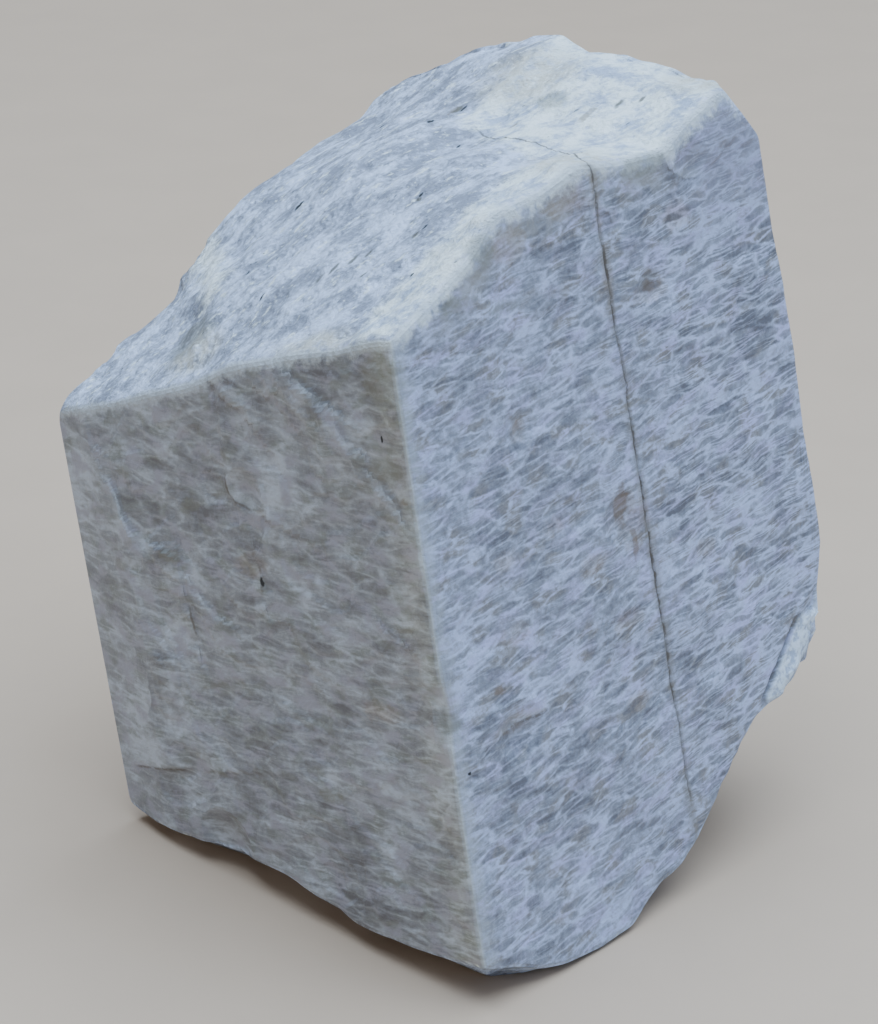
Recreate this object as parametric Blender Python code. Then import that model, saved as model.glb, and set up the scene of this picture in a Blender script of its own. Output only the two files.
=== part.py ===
"""Microcline crystal: one natural cleavage block, leaning back and to its left.

Metres, +Z up. The block stands on its own flat broken foot at Z 0, with the
sharp front edge facing -Y. Lengths below are millimetres unless they say
otherwise, measured in the block's own directions: "a" runs back along the left
face, "b" runs back along the right face, "h" runs up the front edge.
"""
import math

import bmesh
import bpy
import numpy as np
from mathutils import Matrix
from mathutils import Vector
from mathutils import noise

MM = 0.001
NODE = "microcline_crystal"

# How the block sits: the front edge leans left and back, the faces meet squarely
EDGE_LEAN_LEFT_DEG = 8.2
EDGE_LEAN_BACK_DEG = 8.0
RIGHT_FACE_TURN_DEG = 46.0
FRONT_CORNER_LIFT = 6.2

# Widths of the two cleavage faces
LEFT_FACE_WIDTH = 69.0
RIGHT_FACE_WIDTH = 74.0

# Divisions of the surface along a, b and h
CELLS_A = 24
CELLS_B = 27
CELLS_H = 31
WELD_DISTANCE = 0.00005

# Top outlines, as (distance along the face, height up the edge)
TOP_OF_LEFT_FACE = (
    (0, 81.6), (3, 81.3), (10, 79.8), (18, 78.8), (28, 76.9), (36, 75.2), (45, 73.2), (55, 70.9), (69, 68.2))
TOP_OF_RIGHT_FACE = (
    (0, 81.6), (9, 85.4), (16, 88.7), (20, 92.4), (29, 93.2), (37, 95.2), (45, 93.7), (53, 93.2), (57, 95.8),
    (65, 98.4), (74, 98.0))
TOP_OF_BACK_LEFT = (
    (0, 68.2), (7, 72.7), (15, 77.6), (24, 80.6), (32, 84.2), (42, 88.4), (51, 90.8), (60, 93.2), (67, 95.8), (74, 97.3))
TOP_OF_BACK_RIGHT = (
    (0, 98.0), (9, 98.6), (15, 100.5), (21, 102.2), (29, 103.2), (32, 105.0), (38, 105.4), (46, 104.0),
    (57, 101.4), (69, 97.3))

# Underside outlines, as (distance along the face, height above the floor)
UNDER_LEFT_FACE = (
    (0, 6.2), (7, 4.9), (13, 3.9), (23, 3.1), (30, 4.1), (36, 5.0), (45, 4.4), (57, 2.8), (62, 2.3), (69, 2.6))
UNDER_RIGHT_FACE = (
    (0, 6.2), (6, 4.2), (10, 2.2), (14, 1.1), (21, 0.4), (27, 0.8), (31, 3.3), (37, 5.0), (42, 8.6), (47, 12.3),
    (52, 15.9), (57, 19.4), (60, 20.0), (64, 21.4), (67, 22.9), (70, 24.2), (72, 26.6), (74, 38.0))
UNDER_BACK_LEFT = ((0, 2.6), (9, 1.2), (30, 1.6), (48, 0.8), (62, 2.0), (74, 4.5))
UNDER_BACK_RIGHT = ((0, 38.0), (10, 32.0), (22, 25.5), (34, 16.0), (48, 10.5), (60, 5.0), (69, 4.5))

# How far the underside bulges down past its outlines, so that the foot is cut in it
UNDERSIDE_BULGE = 7.0
UNDERSIDE_BULGE_REACH = 16.0

# Right border of the right face: (height up the edge, distance past the face width)
RIGHT_BORDER = ((20, 0.0), (27, 0.4), (34, 1.0), (42, 0.3), (60, -0.2), (75, -1.6), (88, -2.4), (100, -2.8))

# The low shelf at the left end of the top, behind a short riser
SHELF_RISER_START = (34.0, 0.0)
SHELF_RISER_END = (69.0, 25.5)
SHELF_DROP_FRONT = 1.0
SHELF_DROP_BACK = 3.7
SHELF_DROP_REACH = 20.0
SHELF_RISER_WIDTH = 5.0
SHELF_HOLLOW = 0.9
SHELF_HOLLOW_REACH = 8.0

# The hairline crack down the right face: (height, distance along the face)
CRACK_LINE = ((-6.0, 42.4), (7.0, 41.8), (30.0, 40.8), (47.0, 40.1), (66.0, 39.5), (81.0, 38.5), (95.0, 38.0))
CRACK_HALF_WIDTH = 0.6
CRACK_DEPTH = 0.55
CRACK_END_HEIGHT = 6.0
CRACK_FADE = 6.0

# Flat breaks: three points (a, b, h) on the plane and a point on the removed side.
# In turn: the clipped top right corner, the bevel down the far border of the left
# face, the worn front edge and the loose flake at the lower right border.
FLAT_BREAKS = (
    ((0.0, 65.0, 98.6), (0.0, 71.4, 90.6), (9.0, 74.0, 97.4), (0.0, 76.0, 102.0)),
    ((58.8, 0.0, 15.0), (60.8, 0.0, 66.0), (69.0, 1.2, 50.0), (72.0, -3.0, 50.0)),
    ((0.0, 1.1, 80.0), (1.1, 0.0, 40.0), (0.0, 1.1, 0.0), (-2.0, -2.0, 40.0)),
    ((0.0, 59.6, 15.3), (0.0, 67.6, 23.8), (1.1, 61.8, 13.2), (-1.0, 66.0, 18.0)),
)

# Shell-shaped chips: centre (a, b, h) and radius
CHIPS = (
    ((-3.4, -6.2, 34.0), 8.6),
    ((-3.6, 46.5, 76.6), 4.8),
    ((-6.4, 35.6, 48.5), 7.3),
    ((-7.0, 19.2, 65.2), 7.8),
    ((-8.6, 12.0, 28.0), 9.6),
    ((-7.4, 57.0, 90.0), 8.2),
    ((31.0, -8.0, 60.0), 8.5),
    ((47.0, -6.4, 8.5), 8.2),
    ((74.5, 30.0, 30.0), 9.0),
    ((30.0, 80.5, 62.0), 10.0),
)

# Cleavage steps on the two hidden back faces: (height where the step starts, slant, drop)
BACK_LEFT_STEPS = ((24.0, 0.35, 1.3), (58.0, -0.2, 1.0))
BACK_RIGHT_STEPS = ((46.0, 0.3, 1.5),)
STEP_RUN = 2.4
STEP_BORDER = 10.0

# Relief: wavelength and height for smooth cleavage and for rough breaks
CLEAVAGE_WAVE = 9.0
CLEAVAGE_RELIEF = 0.16
BREAK_WAVE = 11.0
BREAK_RELIEF = 0.75
BREAK_OCTAVES = 3
STREAK_STRETCH = 3.2
BORDER_CALM = 5.0

# Look
STONE_COLOUR = (0.53, 0.57, 0.63, 1.0)
STONE_ROUGHNESS = 0.55


def block_axes():
    """Unit directions of a, b and h in the room, all square to each other."""
    lean_left = math.tan(math.radians(EDGE_LEAN_LEFT_DEG))
    lean_back = math.tan(math.radians(EDGE_LEAN_BACK_DEG))
    up_edge = Vector((-lean_left, lean_back, 1.0)).normalized()
    turn = math.radians(RIGHT_FACE_TURN_DEG)
    flat = Vector((math.cos(turn), math.sin(turn), 0.0))
    along_right = (flat - up_edge * flat.dot(up_edge)).normalized()
    along_left = up_edge.cross(along_right)
    return along_left, along_right, up_edge


def outline(points, x):
    """Height of an outline at x."""
    table = np.array(points, dtype=float)
    return np.interp(x, table[:, 0], table[:, 1])


def ramp(x):
    """Smooth step from 0 to 1 as x goes from 0 to 1."""
    t = np.clip(x, 0.0, 1.0)
    return t * t * (3.0 - 2.0 * t)


def between_outlines(front_left, front_right, back_left, back_right, a, b):
    """Surface hung between four outlines that meet at the corners."""
    u = a / LEFT_FACE_WIDTH
    v = b / RIGHT_FACE_WIDTH
    along_a = (1.0 - v) * outline(front_left, a) + v * outline(back_right, a)
    along_b = (1.0 - u) * outline(front_right, b) + u * outline(back_left, b)
    corner_front = (1.0 - u) * (1.0 - v) * front_left[0][1]
    corner_left = u * (1.0 - v) * front_left[-1][1]
    corner_right = (1.0 - u) * v * front_right[-1][1]
    corner_back = u * v * back_left[-1][1]
    return along_a + along_b - corner_front - corner_left - corner_right - corner_back


def shelf(a, b):
    """Depth of the low shelf left of the riser."""
    start = np.array(SHELF_RISER_START)
    run = np.array(SHELF_RISER_END) - start
    length = np.hypot(run[0], run[1])
    outward = ((a - start[0]) * run[1] - (b - start[1]) * run[0]) / length
    grown = ramp((outward + 0.5 * SHELF_RISER_WIDTH) / SHELF_RISER_WIDTH)
    hollow = SHELF_HOLLOW * np.exp(-((outward - 4.0) / SHELF_HOLLOW_REACH) ** 2)
    drop = SHELF_DROP_FRONT + (SHELF_DROP_BACK - SHELF_DROP_FRONT) * ramp(b / SHELF_DROP_REACH)
    return grown * (drop + hollow * ramp(b / SHELF_DROP_REACH))


def top_height(a, b):
    """Height up the edge of the broken top."""
    hung = between_outlines(TOP_OF_LEFT_FACE, TOP_OF_RIGHT_FACE, TOP_OF_BACK_LEFT, TOP_OF_BACK_RIGHT, a, b)
    return hung - shelf(a, b)


def underside_height(a, b, axes):
    """Height up the edge of the broken underside."""
    lift = between_outlines(UNDER_LEFT_FACE, UNDER_RIGHT_FACE, UNDER_BACK_LEFT, UNDER_BACK_RIGHT, a, b)
    inset = np.minimum(np.minimum(a, LEFT_FACE_WIDTH - a), np.minimum(b, RIGHT_FACE_WIDTH - b))
    lift = lift - UNDERSIDE_BULGE * ramp(inset / UNDERSIDE_BULGE_REACH)
    along_left, along_right, up_edge = axes
    return (lift - FRONT_CORNER_LIFT - along_left.z * a - along_right.z * b) / up_edge.z


def crack_at(h):
    """Distance of the crack along the right face at height h."""
    return outline(CRACK_LINE, h)


def layered_noise(points, wave, octaves):
    """Smooth seeded noise between about -1 and 1 at each point."""
    values = np.zeros(len(points))
    for i, p in enumerate(points):
        total = 0.0
        weight = 1.0
        at = Vector(p) / wave
        for _ in range(octaves):
            total += weight * noise.noise(at)
            at = at * 2.03 + Vector((7.1, 3.3, 5.7))
            weight *= 0.5
        values[i] = total
    return values


def surface_lattice(cells_a, cells_b, cells_h):
    """Closed box from 0 to 1 with its surface divided evenly."""
    bm = bmesh.new()
    bmesh.ops.create_cube(bm, size=1.0, matrix=Matrix.Translation((0.5, 0.5, 0.5)))
    for axis, cells in enumerate((cells_a, cells_b, cells_h)):
        edges = [e for e in bm.edges if abs((e.verts[0].co - e.verts[1].co)[axis]) > 0.5]
        bmesh.ops.subdivide_edges(bm, edges=edges, cuts=cells - 1, use_grid_fill=True)
    return bm


def divisions_along_b(cells):
    """Even divisions along b, with three of them gathered at the crack."""
    lines = np.linspace(0.0, RIGHT_FACE_WIDTH, cells + 1)
    middle = float(crack_at(50.0))
    nearest = int(np.argmin(np.abs(lines - middle)))
    lines[nearest - 1] = middle - CRACK_HALF_WIDTH
    lines[nearest] = middle
    lines[nearest + 1] = middle + CRACK_HALF_WIDTH
    return lines


def follow_crack(b, h):
    """Shift lines near the crack sideways so that they run along it."""
    middle = float(crack_at(50.0))
    reach = 18.0
    pull = np.clip(1.0 - np.abs(b - middle) / reach, 0.0, 1.0)
    pull = np.where(np.abs(b - middle) <= CRACK_HALF_WIDTH * 1.01, 1.0, pull)
    return b + pull * (crack_at(h) - middle)


def flat_break(p, plane, removed):
    """Lay everything on the removed side of a plane down onto it."""
    p0, p1, p2 = (np.array(q, dtype=float) for q in plane)
    normal = np.cross(p1 - p0, p2 - p0)
    normal /= np.linalg.norm(normal)
    if np.dot(np.array(removed) - p0, normal) < 0.0:
        normal = -normal
    beyond = np.maximum((p - p0) @ normal, 0.0)
    return p - beyond[:, None] * normal


def chip(p, centre, radius):
    """Push everything inside a ball out to its skin, leaving a shell-shaped hollow."""
    offset = p - np.array(centre, dtype=float)
    distance = np.linalg.norm(offset, axis=1)
    inside = distance < radius
    scale = np.where(inside, radius / np.maximum(distance, 1e-6), 1.0)
    return np.array(centre) + offset * scale[:, None]


def stepped(height, across, steps):
    """Total drop of slanting cleavage steps at each point."""
    drop = np.zeros(len(height))
    for start, slant, depth in steps:
        drop += depth * ramp((height - start - slant * across) / STEP_RUN)
    return drop


def shape_block(bm, cells_a, cells_b, cells_h, axes):
    """Carry the lattice onto the block and add its relief."""
    lattice = np.array([v.co[:] for v in bm.verts])
    ia = np.rint(lattice[:, 0] * cells_a).astype(int)
    ib = np.rint(lattice[:, 1] * cells_b).astype(int)
    ih = np.rint(lattice[:, 2] * cells_h).astype(int)
    a = np.linspace(0.0, LEFT_FACE_WIDTH, cells_a + 1)[ia]
    b = divisions_along_b(cells_b)[ib]
    low = underside_height(a, b, axes)
    high = top_height(a, b)
    h = low + (high - low) * ih / cells_h
    b = follow_crack(b, h)
    b = b + outline(RIGHT_BORDER, h) * (b / RIGHT_FACE_WIDTH) ** 6

    on_right = ia == 0
    on_left = ib == 0
    on_back_left = ia == cells_a
    on_back_right = ib == cells_b
    on_top = ih == cells_h
    on_under = ih == 0

    p = np.stack((a, b, h), axis=1)
    smooth = CLEAVAGE_RELIEF * layered_noise(p, CLEAVAGE_WAVE, 2)
    rough = BREAK_RELIEF * layered_noise(p, BREAK_WAVE, BREAK_OCTAVES)
    streaks = BREAK_RELIEF * layered_noise(p / np.array((1.0, STREAK_STRETCH, 1.0)), BREAK_WAVE * 0.55, 2)
    calm = ramp(np.minimum(a, b) / BORDER_CALM)

    groove = CRACK_DEPTH * (np.abs(b - crack_at(h)) < 0.3 * CRACK_HALF_WIDTH)
    groove = groove * ramp((h - CRACK_END_HEIGHT) / CRACK_FADE)

    p[:, 0] -= on_right * (smooth - groove)
    p[:, 1] -= on_left * smooth
    p[:, 0] += on_back_left * ramp(b / STEP_BORDER) * (0.5 * rough - stepped(h, b, BACK_LEFT_STEPS))
    p[:, 1] += on_back_right * ramp(a / STEP_BORDER) * (0.5 * rough - stepped(h, a, BACK_RIGHT_STEPS))
    p[:, 2] += on_top * calm * (0.6 * rough + 0.7 * streaks)
    p[:, 2] -= on_under * calm * rough

    for p0, p1, p2, removed in FLAT_BREAKS:
        p = flat_break(p, (p0, p1, p2), removed)
    for centre, radius in CHIPS:
        p = chip(p, centre, radius)

    along_left, along_right, up_edge = axes
    frame = np.array((along_left[:], along_right[:], up_edge[:]))
    room = p @ frame + np.array((0.0, 0.0, FRONT_CORNER_LIFT))
    for v, co in zip(bm.verts, room * MM):
        v.co = co


def cut_foot(bm):
    """Cut the underside off level at Z 0 and close the flat foot."""
    everything = bm.verts[:] + bm.edges[:] + bm.faces[:]
    bmesh.ops.bisect_plane(
        bm, geom=everything, dist=1e-7, plane_co=(0.0, 0.0, 0.0), plane_no=(0.0, 0.0, 1.0), clear_inner=True)
    rim = [e for e in bm.edges if e.is_boundary]
    bmesh.ops.holes_fill(bm, edges=rim, sides=0)
    bmesh.ops.remove_doubles(bm, verts=bm.verts[:], dist=WELD_DISTANCE)


def centre_on_foot(bm):
    """Put the middle of the block's plan over the origin."""
    xs = [v.co.x for v in bm.verts]
    ys = [v.co.y for v in bm.verts]
    shift = Vector((-(min(xs) + max(xs)) / 2.0, -(min(ys) + max(ys)) / 2.0, 0.0))
    bmesh.ops.translate(bm, verts=bm.verts[:], vec=shift)


def build_crystal():
    """Make the crystal as one closed object."""
    for old in list(bpy.data.objects):
        bpy.data.objects.remove(old, do_unlink=True)
    axes = block_axes()
    bm = surface_lattice(CELLS_A, CELLS_B, CELLS_H)
    shape_block(bm, CELLS_A, CELLS_B, CELLS_H, axes)
    cut_foot(bm)
    centre_on_foot(bm)
    bmesh.ops.triangulate(bm, faces=bm.faces[:])
    bmesh.ops.recalc_face_normals(bm, faces=bm.faces[:])

    mesh = bpy.data.meshes.new(NODE)
    bm.to_mesh(mesh)
    bm.free()
    crystal = bpy.data.objects.new(NODE, mesh)

    stone = bpy.data.materials.new("grey blue microcline")
    stone.use_nodes = True
    surface = stone.node_tree.nodes["Principled BSDF"]
    surface.inputs["Base Color"].default_value = STONE_COLOUR
    surface.inputs["Roughness"].default_value = STONE_ROUGHNESS
    mesh.materials.append(stone)

    parts = bpy.data.collections.new("microcline crystal")
    bpy.context.scene.collection.children.link(parts)
    parts.objects.link(crystal)
    return crystal


build_crystal()
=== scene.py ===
"""Looks for the microcline crystal: the stone's fine relief and its finish, with floor, light and camera."""
import math
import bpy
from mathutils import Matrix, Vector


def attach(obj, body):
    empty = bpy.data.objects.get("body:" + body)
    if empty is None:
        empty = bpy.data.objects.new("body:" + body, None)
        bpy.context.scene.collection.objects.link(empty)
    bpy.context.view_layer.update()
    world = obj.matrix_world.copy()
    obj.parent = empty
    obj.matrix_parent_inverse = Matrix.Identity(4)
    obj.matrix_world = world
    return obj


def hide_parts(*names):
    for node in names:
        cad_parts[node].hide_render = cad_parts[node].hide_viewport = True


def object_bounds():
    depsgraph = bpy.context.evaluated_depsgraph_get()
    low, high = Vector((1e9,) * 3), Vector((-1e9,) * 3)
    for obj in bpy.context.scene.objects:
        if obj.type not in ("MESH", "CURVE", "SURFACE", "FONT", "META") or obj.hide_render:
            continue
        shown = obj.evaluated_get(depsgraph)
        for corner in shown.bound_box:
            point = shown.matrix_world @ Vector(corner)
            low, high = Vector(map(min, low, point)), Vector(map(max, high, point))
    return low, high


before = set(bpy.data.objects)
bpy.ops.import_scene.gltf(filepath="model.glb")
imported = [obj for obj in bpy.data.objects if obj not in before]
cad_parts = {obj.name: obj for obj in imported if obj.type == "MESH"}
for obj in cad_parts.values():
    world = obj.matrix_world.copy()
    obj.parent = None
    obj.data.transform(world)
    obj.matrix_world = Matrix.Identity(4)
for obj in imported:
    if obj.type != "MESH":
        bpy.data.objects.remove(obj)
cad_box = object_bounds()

from types import SimpleNamespace

import bmesh
import bpy
import numpy as np
from mathutils import Matrix, Vector, noise

# Lengths are millimetres in the block's own directions: "a" runs back along the
# left face, "b" runs back along the right face, "h" runs up the front edge.
MM = 0.001
SOLID = "microcline_crystal"

# How the block sits: the front edge leans left and back, the faces meet squarely
EDGE_LEAN_LEFT_DEG = 8.2
EDGE_LEAN_BACK_DEG = 8.0
RIGHT_FACE_TURN_DEG = 46.0
FRONT_CORNER_LIFT = 6.2
LEFT_FACE_WIDTH = 69.0
RIGHT_FACE_WIDTH = 74.0

# Divisions of the surface along a, b and h
CELLS_A = 108
CELLS_B = 118
CELLS_H = 128
WELD_DISTANCE = 0.00002

# Top outlines, as (distance along the face, height up the edge)
TOP_OF_LEFT_FACE = (
    (0, 81.6), (3, 81.3), (10, 79.8), (18, 78.8), (28, 76.9), (36, 75.2), (45, 73.2), (55, 70.9), (69, 68.2))
TOP_OF_RIGHT_FACE = (
    (0, 81.6), (9, 85.4), (16, 88.7), (20, 92.4), (29, 93.2), (37, 95.2), (45, 93.7), (53, 93.2), (57, 95.8),
    (65, 98.4), (74, 98.0))
TOP_OF_BACK_LEFT = (
    (0, 68.2), (7, 72.7), (15, 77.6), (24, 80.6), (32, 84.2), (42, 88.4), (51, 90.8), (60, 93.2), (67, 95.8),
    (74, 97.3))
TOP_OF_BACK_RIGHT = (
    (0, 98.0), (9, 98.6), (15, 100.5), (21, 102.2), (29, 103.2), (32, 105.0), (38, 105.4), (46, 104.0),
    (57, 101.4), (69, 97.3))

# Away from the right face the top rises evenly, without that border's short steep rise
TOP_INSIDE_RIGHT_FACE = (
    (0, 81.6), (9, 84.9), (16, 88.0), (20, 90.0), (25, 91.9), (29, 93.0), (37, 94.6), (45, 94.2), (53, 94.0),
    (57, 95.6), (65, 98.2), (74, 98.0))
TOP_INSIDE_REACH = 10.0

# Underside outlines, as (distance along the face, height above the floor)
UNDER_LEFT_FACE = (
    (0, 6.2), (7, 4.9), (13, 3.9), (23, 3.1), (30, 4.1), (36, 5.0), (45, 4.4), (57, 2.8), (62, 2.3), (69, 2.6))
UNDER_RIGHT_FACE = (
    (0, 6.2), (6, 4.2), (10, 2.2), (14, 1.1), (21, 0.4), (27, 0.8), (31, 3.3), (37, 5.0), (42, 8.6), (47, 12.3),
    (52, 15.9), (57, 19.4), (60, 20.0), (64, 21.4), (67, 22.9), (70, 24.2), (72, 26.6), (74, 38.0))
UNDER_BACK_LEFT = ((0, 2.6), (9, 1.2), (30, 1.6), (48, 0.8), (62, 2.0), (74, 4.5))
UNDER_BACK_RIGHT = ((0, 38.0), (10, 32.0), (22, 25.5), (34, 16.0), (48, 10.5), (60, 5.0), (69, 4.5))
UNDERSIDE_BULGE = 7.0
UNDERSIDE_BULGE_REACH = 16.0

# Right border of the right face: (height up the edge, distance past the face width)
RIGHT_BORDER = ((20, 0.0), (27, 0.4), (34, 1.0), (42, 0.3), (60, -0.2), (75, -1.6), (88, -2.4), (100, -2.8))

# The low shelf at the left end of the top, behind a short riser
SHELF_RISER_START = (34.0, 0.0)
SHELF_RISER_END = (69.0, 25.5)
SHELF_DROP_FRONT = 1.0
SHELF_DROP_BACK = 3.7
SHELF_DROP_REACH = 20.0
SHELF_RISER_WIDTH = 5.0
SHELF_RISER_SPREAD = 6.0
SHELF_HOLLOW = 0.2
SHELF_HOLLOW_REACH = 8.0

# The hairline crack: down the right face as (height, b), and over the top as (a, b)
CRACK_LINE = ((-6.0, 42.4), (7.0, 41.8), (30.0, 40.8), (47.0, 40.1), (66.0, 39.5), (81.0, 38.5), (95.0, 38.0))
CRACK_HALF_WIDTH = 0.3
CRACK_MIDDLE_HEIGHT = 50.0
CRACK_PULL_REACH = 18.0
CRACK_END_HEIGHT = 6.0
CRACK_FADE = 6.0
TOP_CRACK_LINE = ((0.0, 38.0), (2.0, 39.0), (9.0, 43.4), (14.0, 45.3), (20.0, 45.3), (25.0, 46.2), (31.0, 49.0))

# Flat breaks: three points (a, b, h) on the plane and a point on the removed side.
# In turn: the clipped top right corner, the bevel down the far border of the left
# face, the worn front edge and the loose flake at the lower right border.
FLAT_BREAKS = (
    ((0.0, 65.0, 98.6), (0.0, 71.4, 90.6), (9.0, 74.0, 97.4), (0.0, 76.0, 102.0)),
    ((58.8, 0.0, 15.0), (60.8, 0.0, 66.0), (69.0, 1.2, 50.0), (72.0, -3.0, 50.0)),
    ((0.0, 0.6, 80.0), (0.6, 0.0, 40.0), (0.0, 0.6, 0.0), (-2.0, -2.0, 40.0)),
    ((0.0, 59.6, 15.3), (0.0, 67.6, 23.8), (1.1, 61.8, 13.2), (-1.0, 66.0, 18.0)),
)

# Shell-shaped chips: centre (a, b, h) and radius
CHIPS = (
    ((-3.4, -6.2, 34.0), 8.6),
    ((-3.6, 46.5, 76.6), 4.4),
    ((-6.4, 35.6, 48.5), 7.3),
    ((-7.0, 19.2, 65.2), 7.6),
    ((-8.6, 12.0, 28.0), 9.4),
    ((-7.4, 57.0, 90.0), 8.0),
    ((31.0, -8.0, 60.0), 8.4),
    ((47.0, -6.4, 8.5), 8.2),
    ((74.5, 30.0, 30.0), 9.0),
    ((30.0, 80.5, 62.0), 10.0),
)

# Cleavage steps on the two hidden back faces: (height where the step starts, slant, drop)
BACK_LEFT_STEPS = ((24.0, 0.35, 1.3), (58.0, -0.2, 1.0))
BACK_RIGHT_STEPS = ((46.0, 0.3, 1.5),)
STEP_RUN = 2.4
STEP_BORDER = 10.0

# Relief: wavelength and height for smooth cleavage and for rough breaks
CLEAVAGE_WAVE = 9.0
CLEAVAGE_RELIEF = 0.16
BREAK_WAVE = 11.0
BREAK_RELIEF = 0.75
BREAK_OCTAVES = 3
OCTAVE_STEP = 2.03
OCTAVE_SHIFT = (7.1, 3.3, 5.7)
STREAK_STRETCH = 3.2
BORDER_CALM = 5.0

# Fine relief that only the finished stone has
PLATE_WAVE = 13.0
PLATE_DROP = 0.16
PLATE_LEVELS = 5.0
PLATE_STEP_START = 0.42
PLATE_STEP_RUN = 0.16
PLATE_STRETCH_B = 1.8
SPLINTER_WAVE = 2.6
SPLINTER_RELIEF = 0.22
SPLINTER_STRETCH = 4.5
SPLINTER_TURN_DEG = 27.0
GRIT_WAVE = 1.6
GRIT_RELIEF = 0.05
RISER_ROUGHNESS = 0.6
RISER_WAVE = 5.0
RISER_REACH = 11.0
TOP_PLATE_WAVE = 8.0
TOP_PLATE_DROP = 0.22
RIM_CALM = 2.0
RIM_BAND = 8.0
CRACK_GROOVE = 0.18
CRACK_GROOVE_SHARE = 0.3

# Low ledges on the cleavage faces: rise, reach and line. A line is (distance along the
# face, height up the edge), and the side on its left stands proud. The finish paints light
# and shade along them: a painted highlight on the lips of lit ones, a painted shadow line on
# the lips of shaded ones, painted shade at their feet and a painted paler strip on the proud side.
LEFT_LIT_LEDGES = (
    (0.90, 4.5, ((59.6, 59.8), (58.5, 58.0), (57.6, 56.7), (57.3, 54.6), (56.6, 53.3), (55.7, 52.1), (53.3, 51.4))),
    (0.35, 2.5, ((65.7, 65.4), (63.9, 64.5), (61.6, 63.6))),
    (0.25, 2.0, ((59.8, 56.5), (59.5, 54.4), (59.7, 51.5), (59.8, 49.4))),
    (0.20, 2.0, ((31.3, 60.5), (30.5, 58.7), (29.1, 57.5))),
    (0.60, 4.0, ((17.7, 75.7), (16.4, 74.8), (15.1, 74.1), (13.8, 73.4))),
    (0.25, 2.0, ((17.4, 72.3), (16.5, 71.3), (15.6, 70.5))),
    (0.40, 2.5, ((12.2, 71.1), (11.5, 70.3), (10.9, 69.1), (10.1, 68.2), (9.4, 67.8))),
    (0.50, 2.0, ((5.9, 63.1), (5.0, 62.0), (3.9, 61.3), (3.5, 60.6))),
    (0.40, 3.0, ((58.3, 31.8), (57.9, 29.8), (58.2, 27.2), (60.4, 24.5))),
    (0.35, 1.5, ((29.3, 53.3), (28.3, 54.3), (27.7, 55.9))),
    (0.40, 2.5, ((44.3, 45.4), (43.7, 44.6), (43.1, 43.7), (41.9, 42.9), (40.6, 42.3))),
    (0.30, 2.0, ((0.8, 37.2), (2.7, 38.0), (6.7, 37.5))),
)
LEFT_SHADED_LEDGES = (
    (0.45, 7.0, ((29.2, 57.2), (31.5, 58.0), (33.3, 58.4), (34.1, 59.4), (34.4, 61.3), (34.2, 63.4))),
    (0.45, 4.0, ((28.7, 70.4), (29.3, 71.1), (31.1, 71.5), (32.5, 72.3), (33.4, 73.2))),
    (0.30, 2.0, ((22.5, 73.2), (23.6, 72.7), (24.5, 73.4))),
    (0.80, 6.0, ((50.2, 18.6), (59.0, 17.4), (64.2, 16.7), (68.0, 16.0))),
    (0.45, 5.0, ((46.1, 43.2), (46.0, 40.4), (45.7, 37.6))),
    (0.35, 3.0, ((30.9, 51.3), (30.8, 50.3), (30.2, 48.7), (30.6, 47.2), (30.4, 45.6))),
    (0.30, 2.5, ((57.1, 34.6), (53.6, 34.4), (48.2, 35.1))),
    (0.30, 2.0, ((8.4, 44.6), (7.4, 43.8), (6.4, 43.3))),
)
RIGHT_SHADED_LEDGES = (
    (0.25, 2.5, ((19.8, 67.4), (19.5, 66.7), (18.2, 65.2), (18.7, 63.9), (19.6, 63.2))),
    (0.45, 3.5, ((6.8, 27.4), (8.9, 28.1), (12.2, 28.6), (14.6, 28.7), (17.4, 29.0), (19.0, 29.6))),
    (0.50, 5.0, ((51.8, 94.0), (51.8, 93.0), (52.1, 91.0), (53.4, 89.7), (55.9, 88.5), (58.1, 88.2), (60.0, 89.0))),
    (0.20, 3.0, ((31.6, 53.0), (33.8, 52.6), (35.0, 49.7), (36.2, 47.4), (36.7, 43.8))),
    (0.30, 2.5, ((43.7, 76.3), (46.5, 76.8), (49.1, 77.1))),
    (0.30, 2.0, ((38.0, 88.5), (40.2, 87.6), (40.8, 85.4))),
    (0.25, 2.0, ((40.0, 49.5), (39.7, 45.5), (39.5, 41.5))),
)
LEDGE_WIDTH = 1.2
LEDGE_FADE = 0.3
LEDGE_REACH = 3.0
LEDGE_MARK_REACH = 1.4
LEDGE_FULL_RISE = 0.5
LEDGE_RAGGED = 0.35
LEDGE_WAVE = 1.7

# Patches on the two front faces: distance along the face, height, and half the size
# each way. Those on the top and its borders give centre and half size along a, b and h.
PALE_PATCHES_ON_LEFT = (
    (31.1, 61.3, 3.4, 3.4), (25.4, 61.8, 4.0, 3.8), (62.1, 36.9, 3.6, 1.5), (60.9, 25.1, 1.3, 0.9),
    (59.9, 19.3, 1.5, 1.8), (22.8, 22.6, 1.1, 1.3), (5.3, 20.9, 1.2, 1.0), (2.4, 36.6, 2.8, 1.6),
    (66.0, 56.0, 4.0, 9.0), (49.5, 39.8, 2.6, 2.2), (57.5, 52.0, 2.0, 2.0), (22.0, 48.0, 3.6, 3.0),
)
PALE_PATCHES_ON_RIGHT = (
    (21.6, 64.8, 1.6, 1.0), (46.6, 74.8, 1.8, 0.9), (34.0, 53.6, 1.8, 0.8), (10.6, 47.8, 2.2, 0.8),
    (23.0, 76.0, 2.6, 1.8), (14.8, 30.2, 3.4, 1.1), (4.0, 38.0, 2.6, 7.0),
)
# The pale patches on the top are the bright rim at the far left end of the shelf: painted highlight.
PALE_PATCHES_ON_TOP = (((63.0, 30.0, 86.0), (2.6, 8.0, 4.0)), ((58.0, 24.0, 84.0), (5.0, 6.0, 4.0)),)
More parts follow.
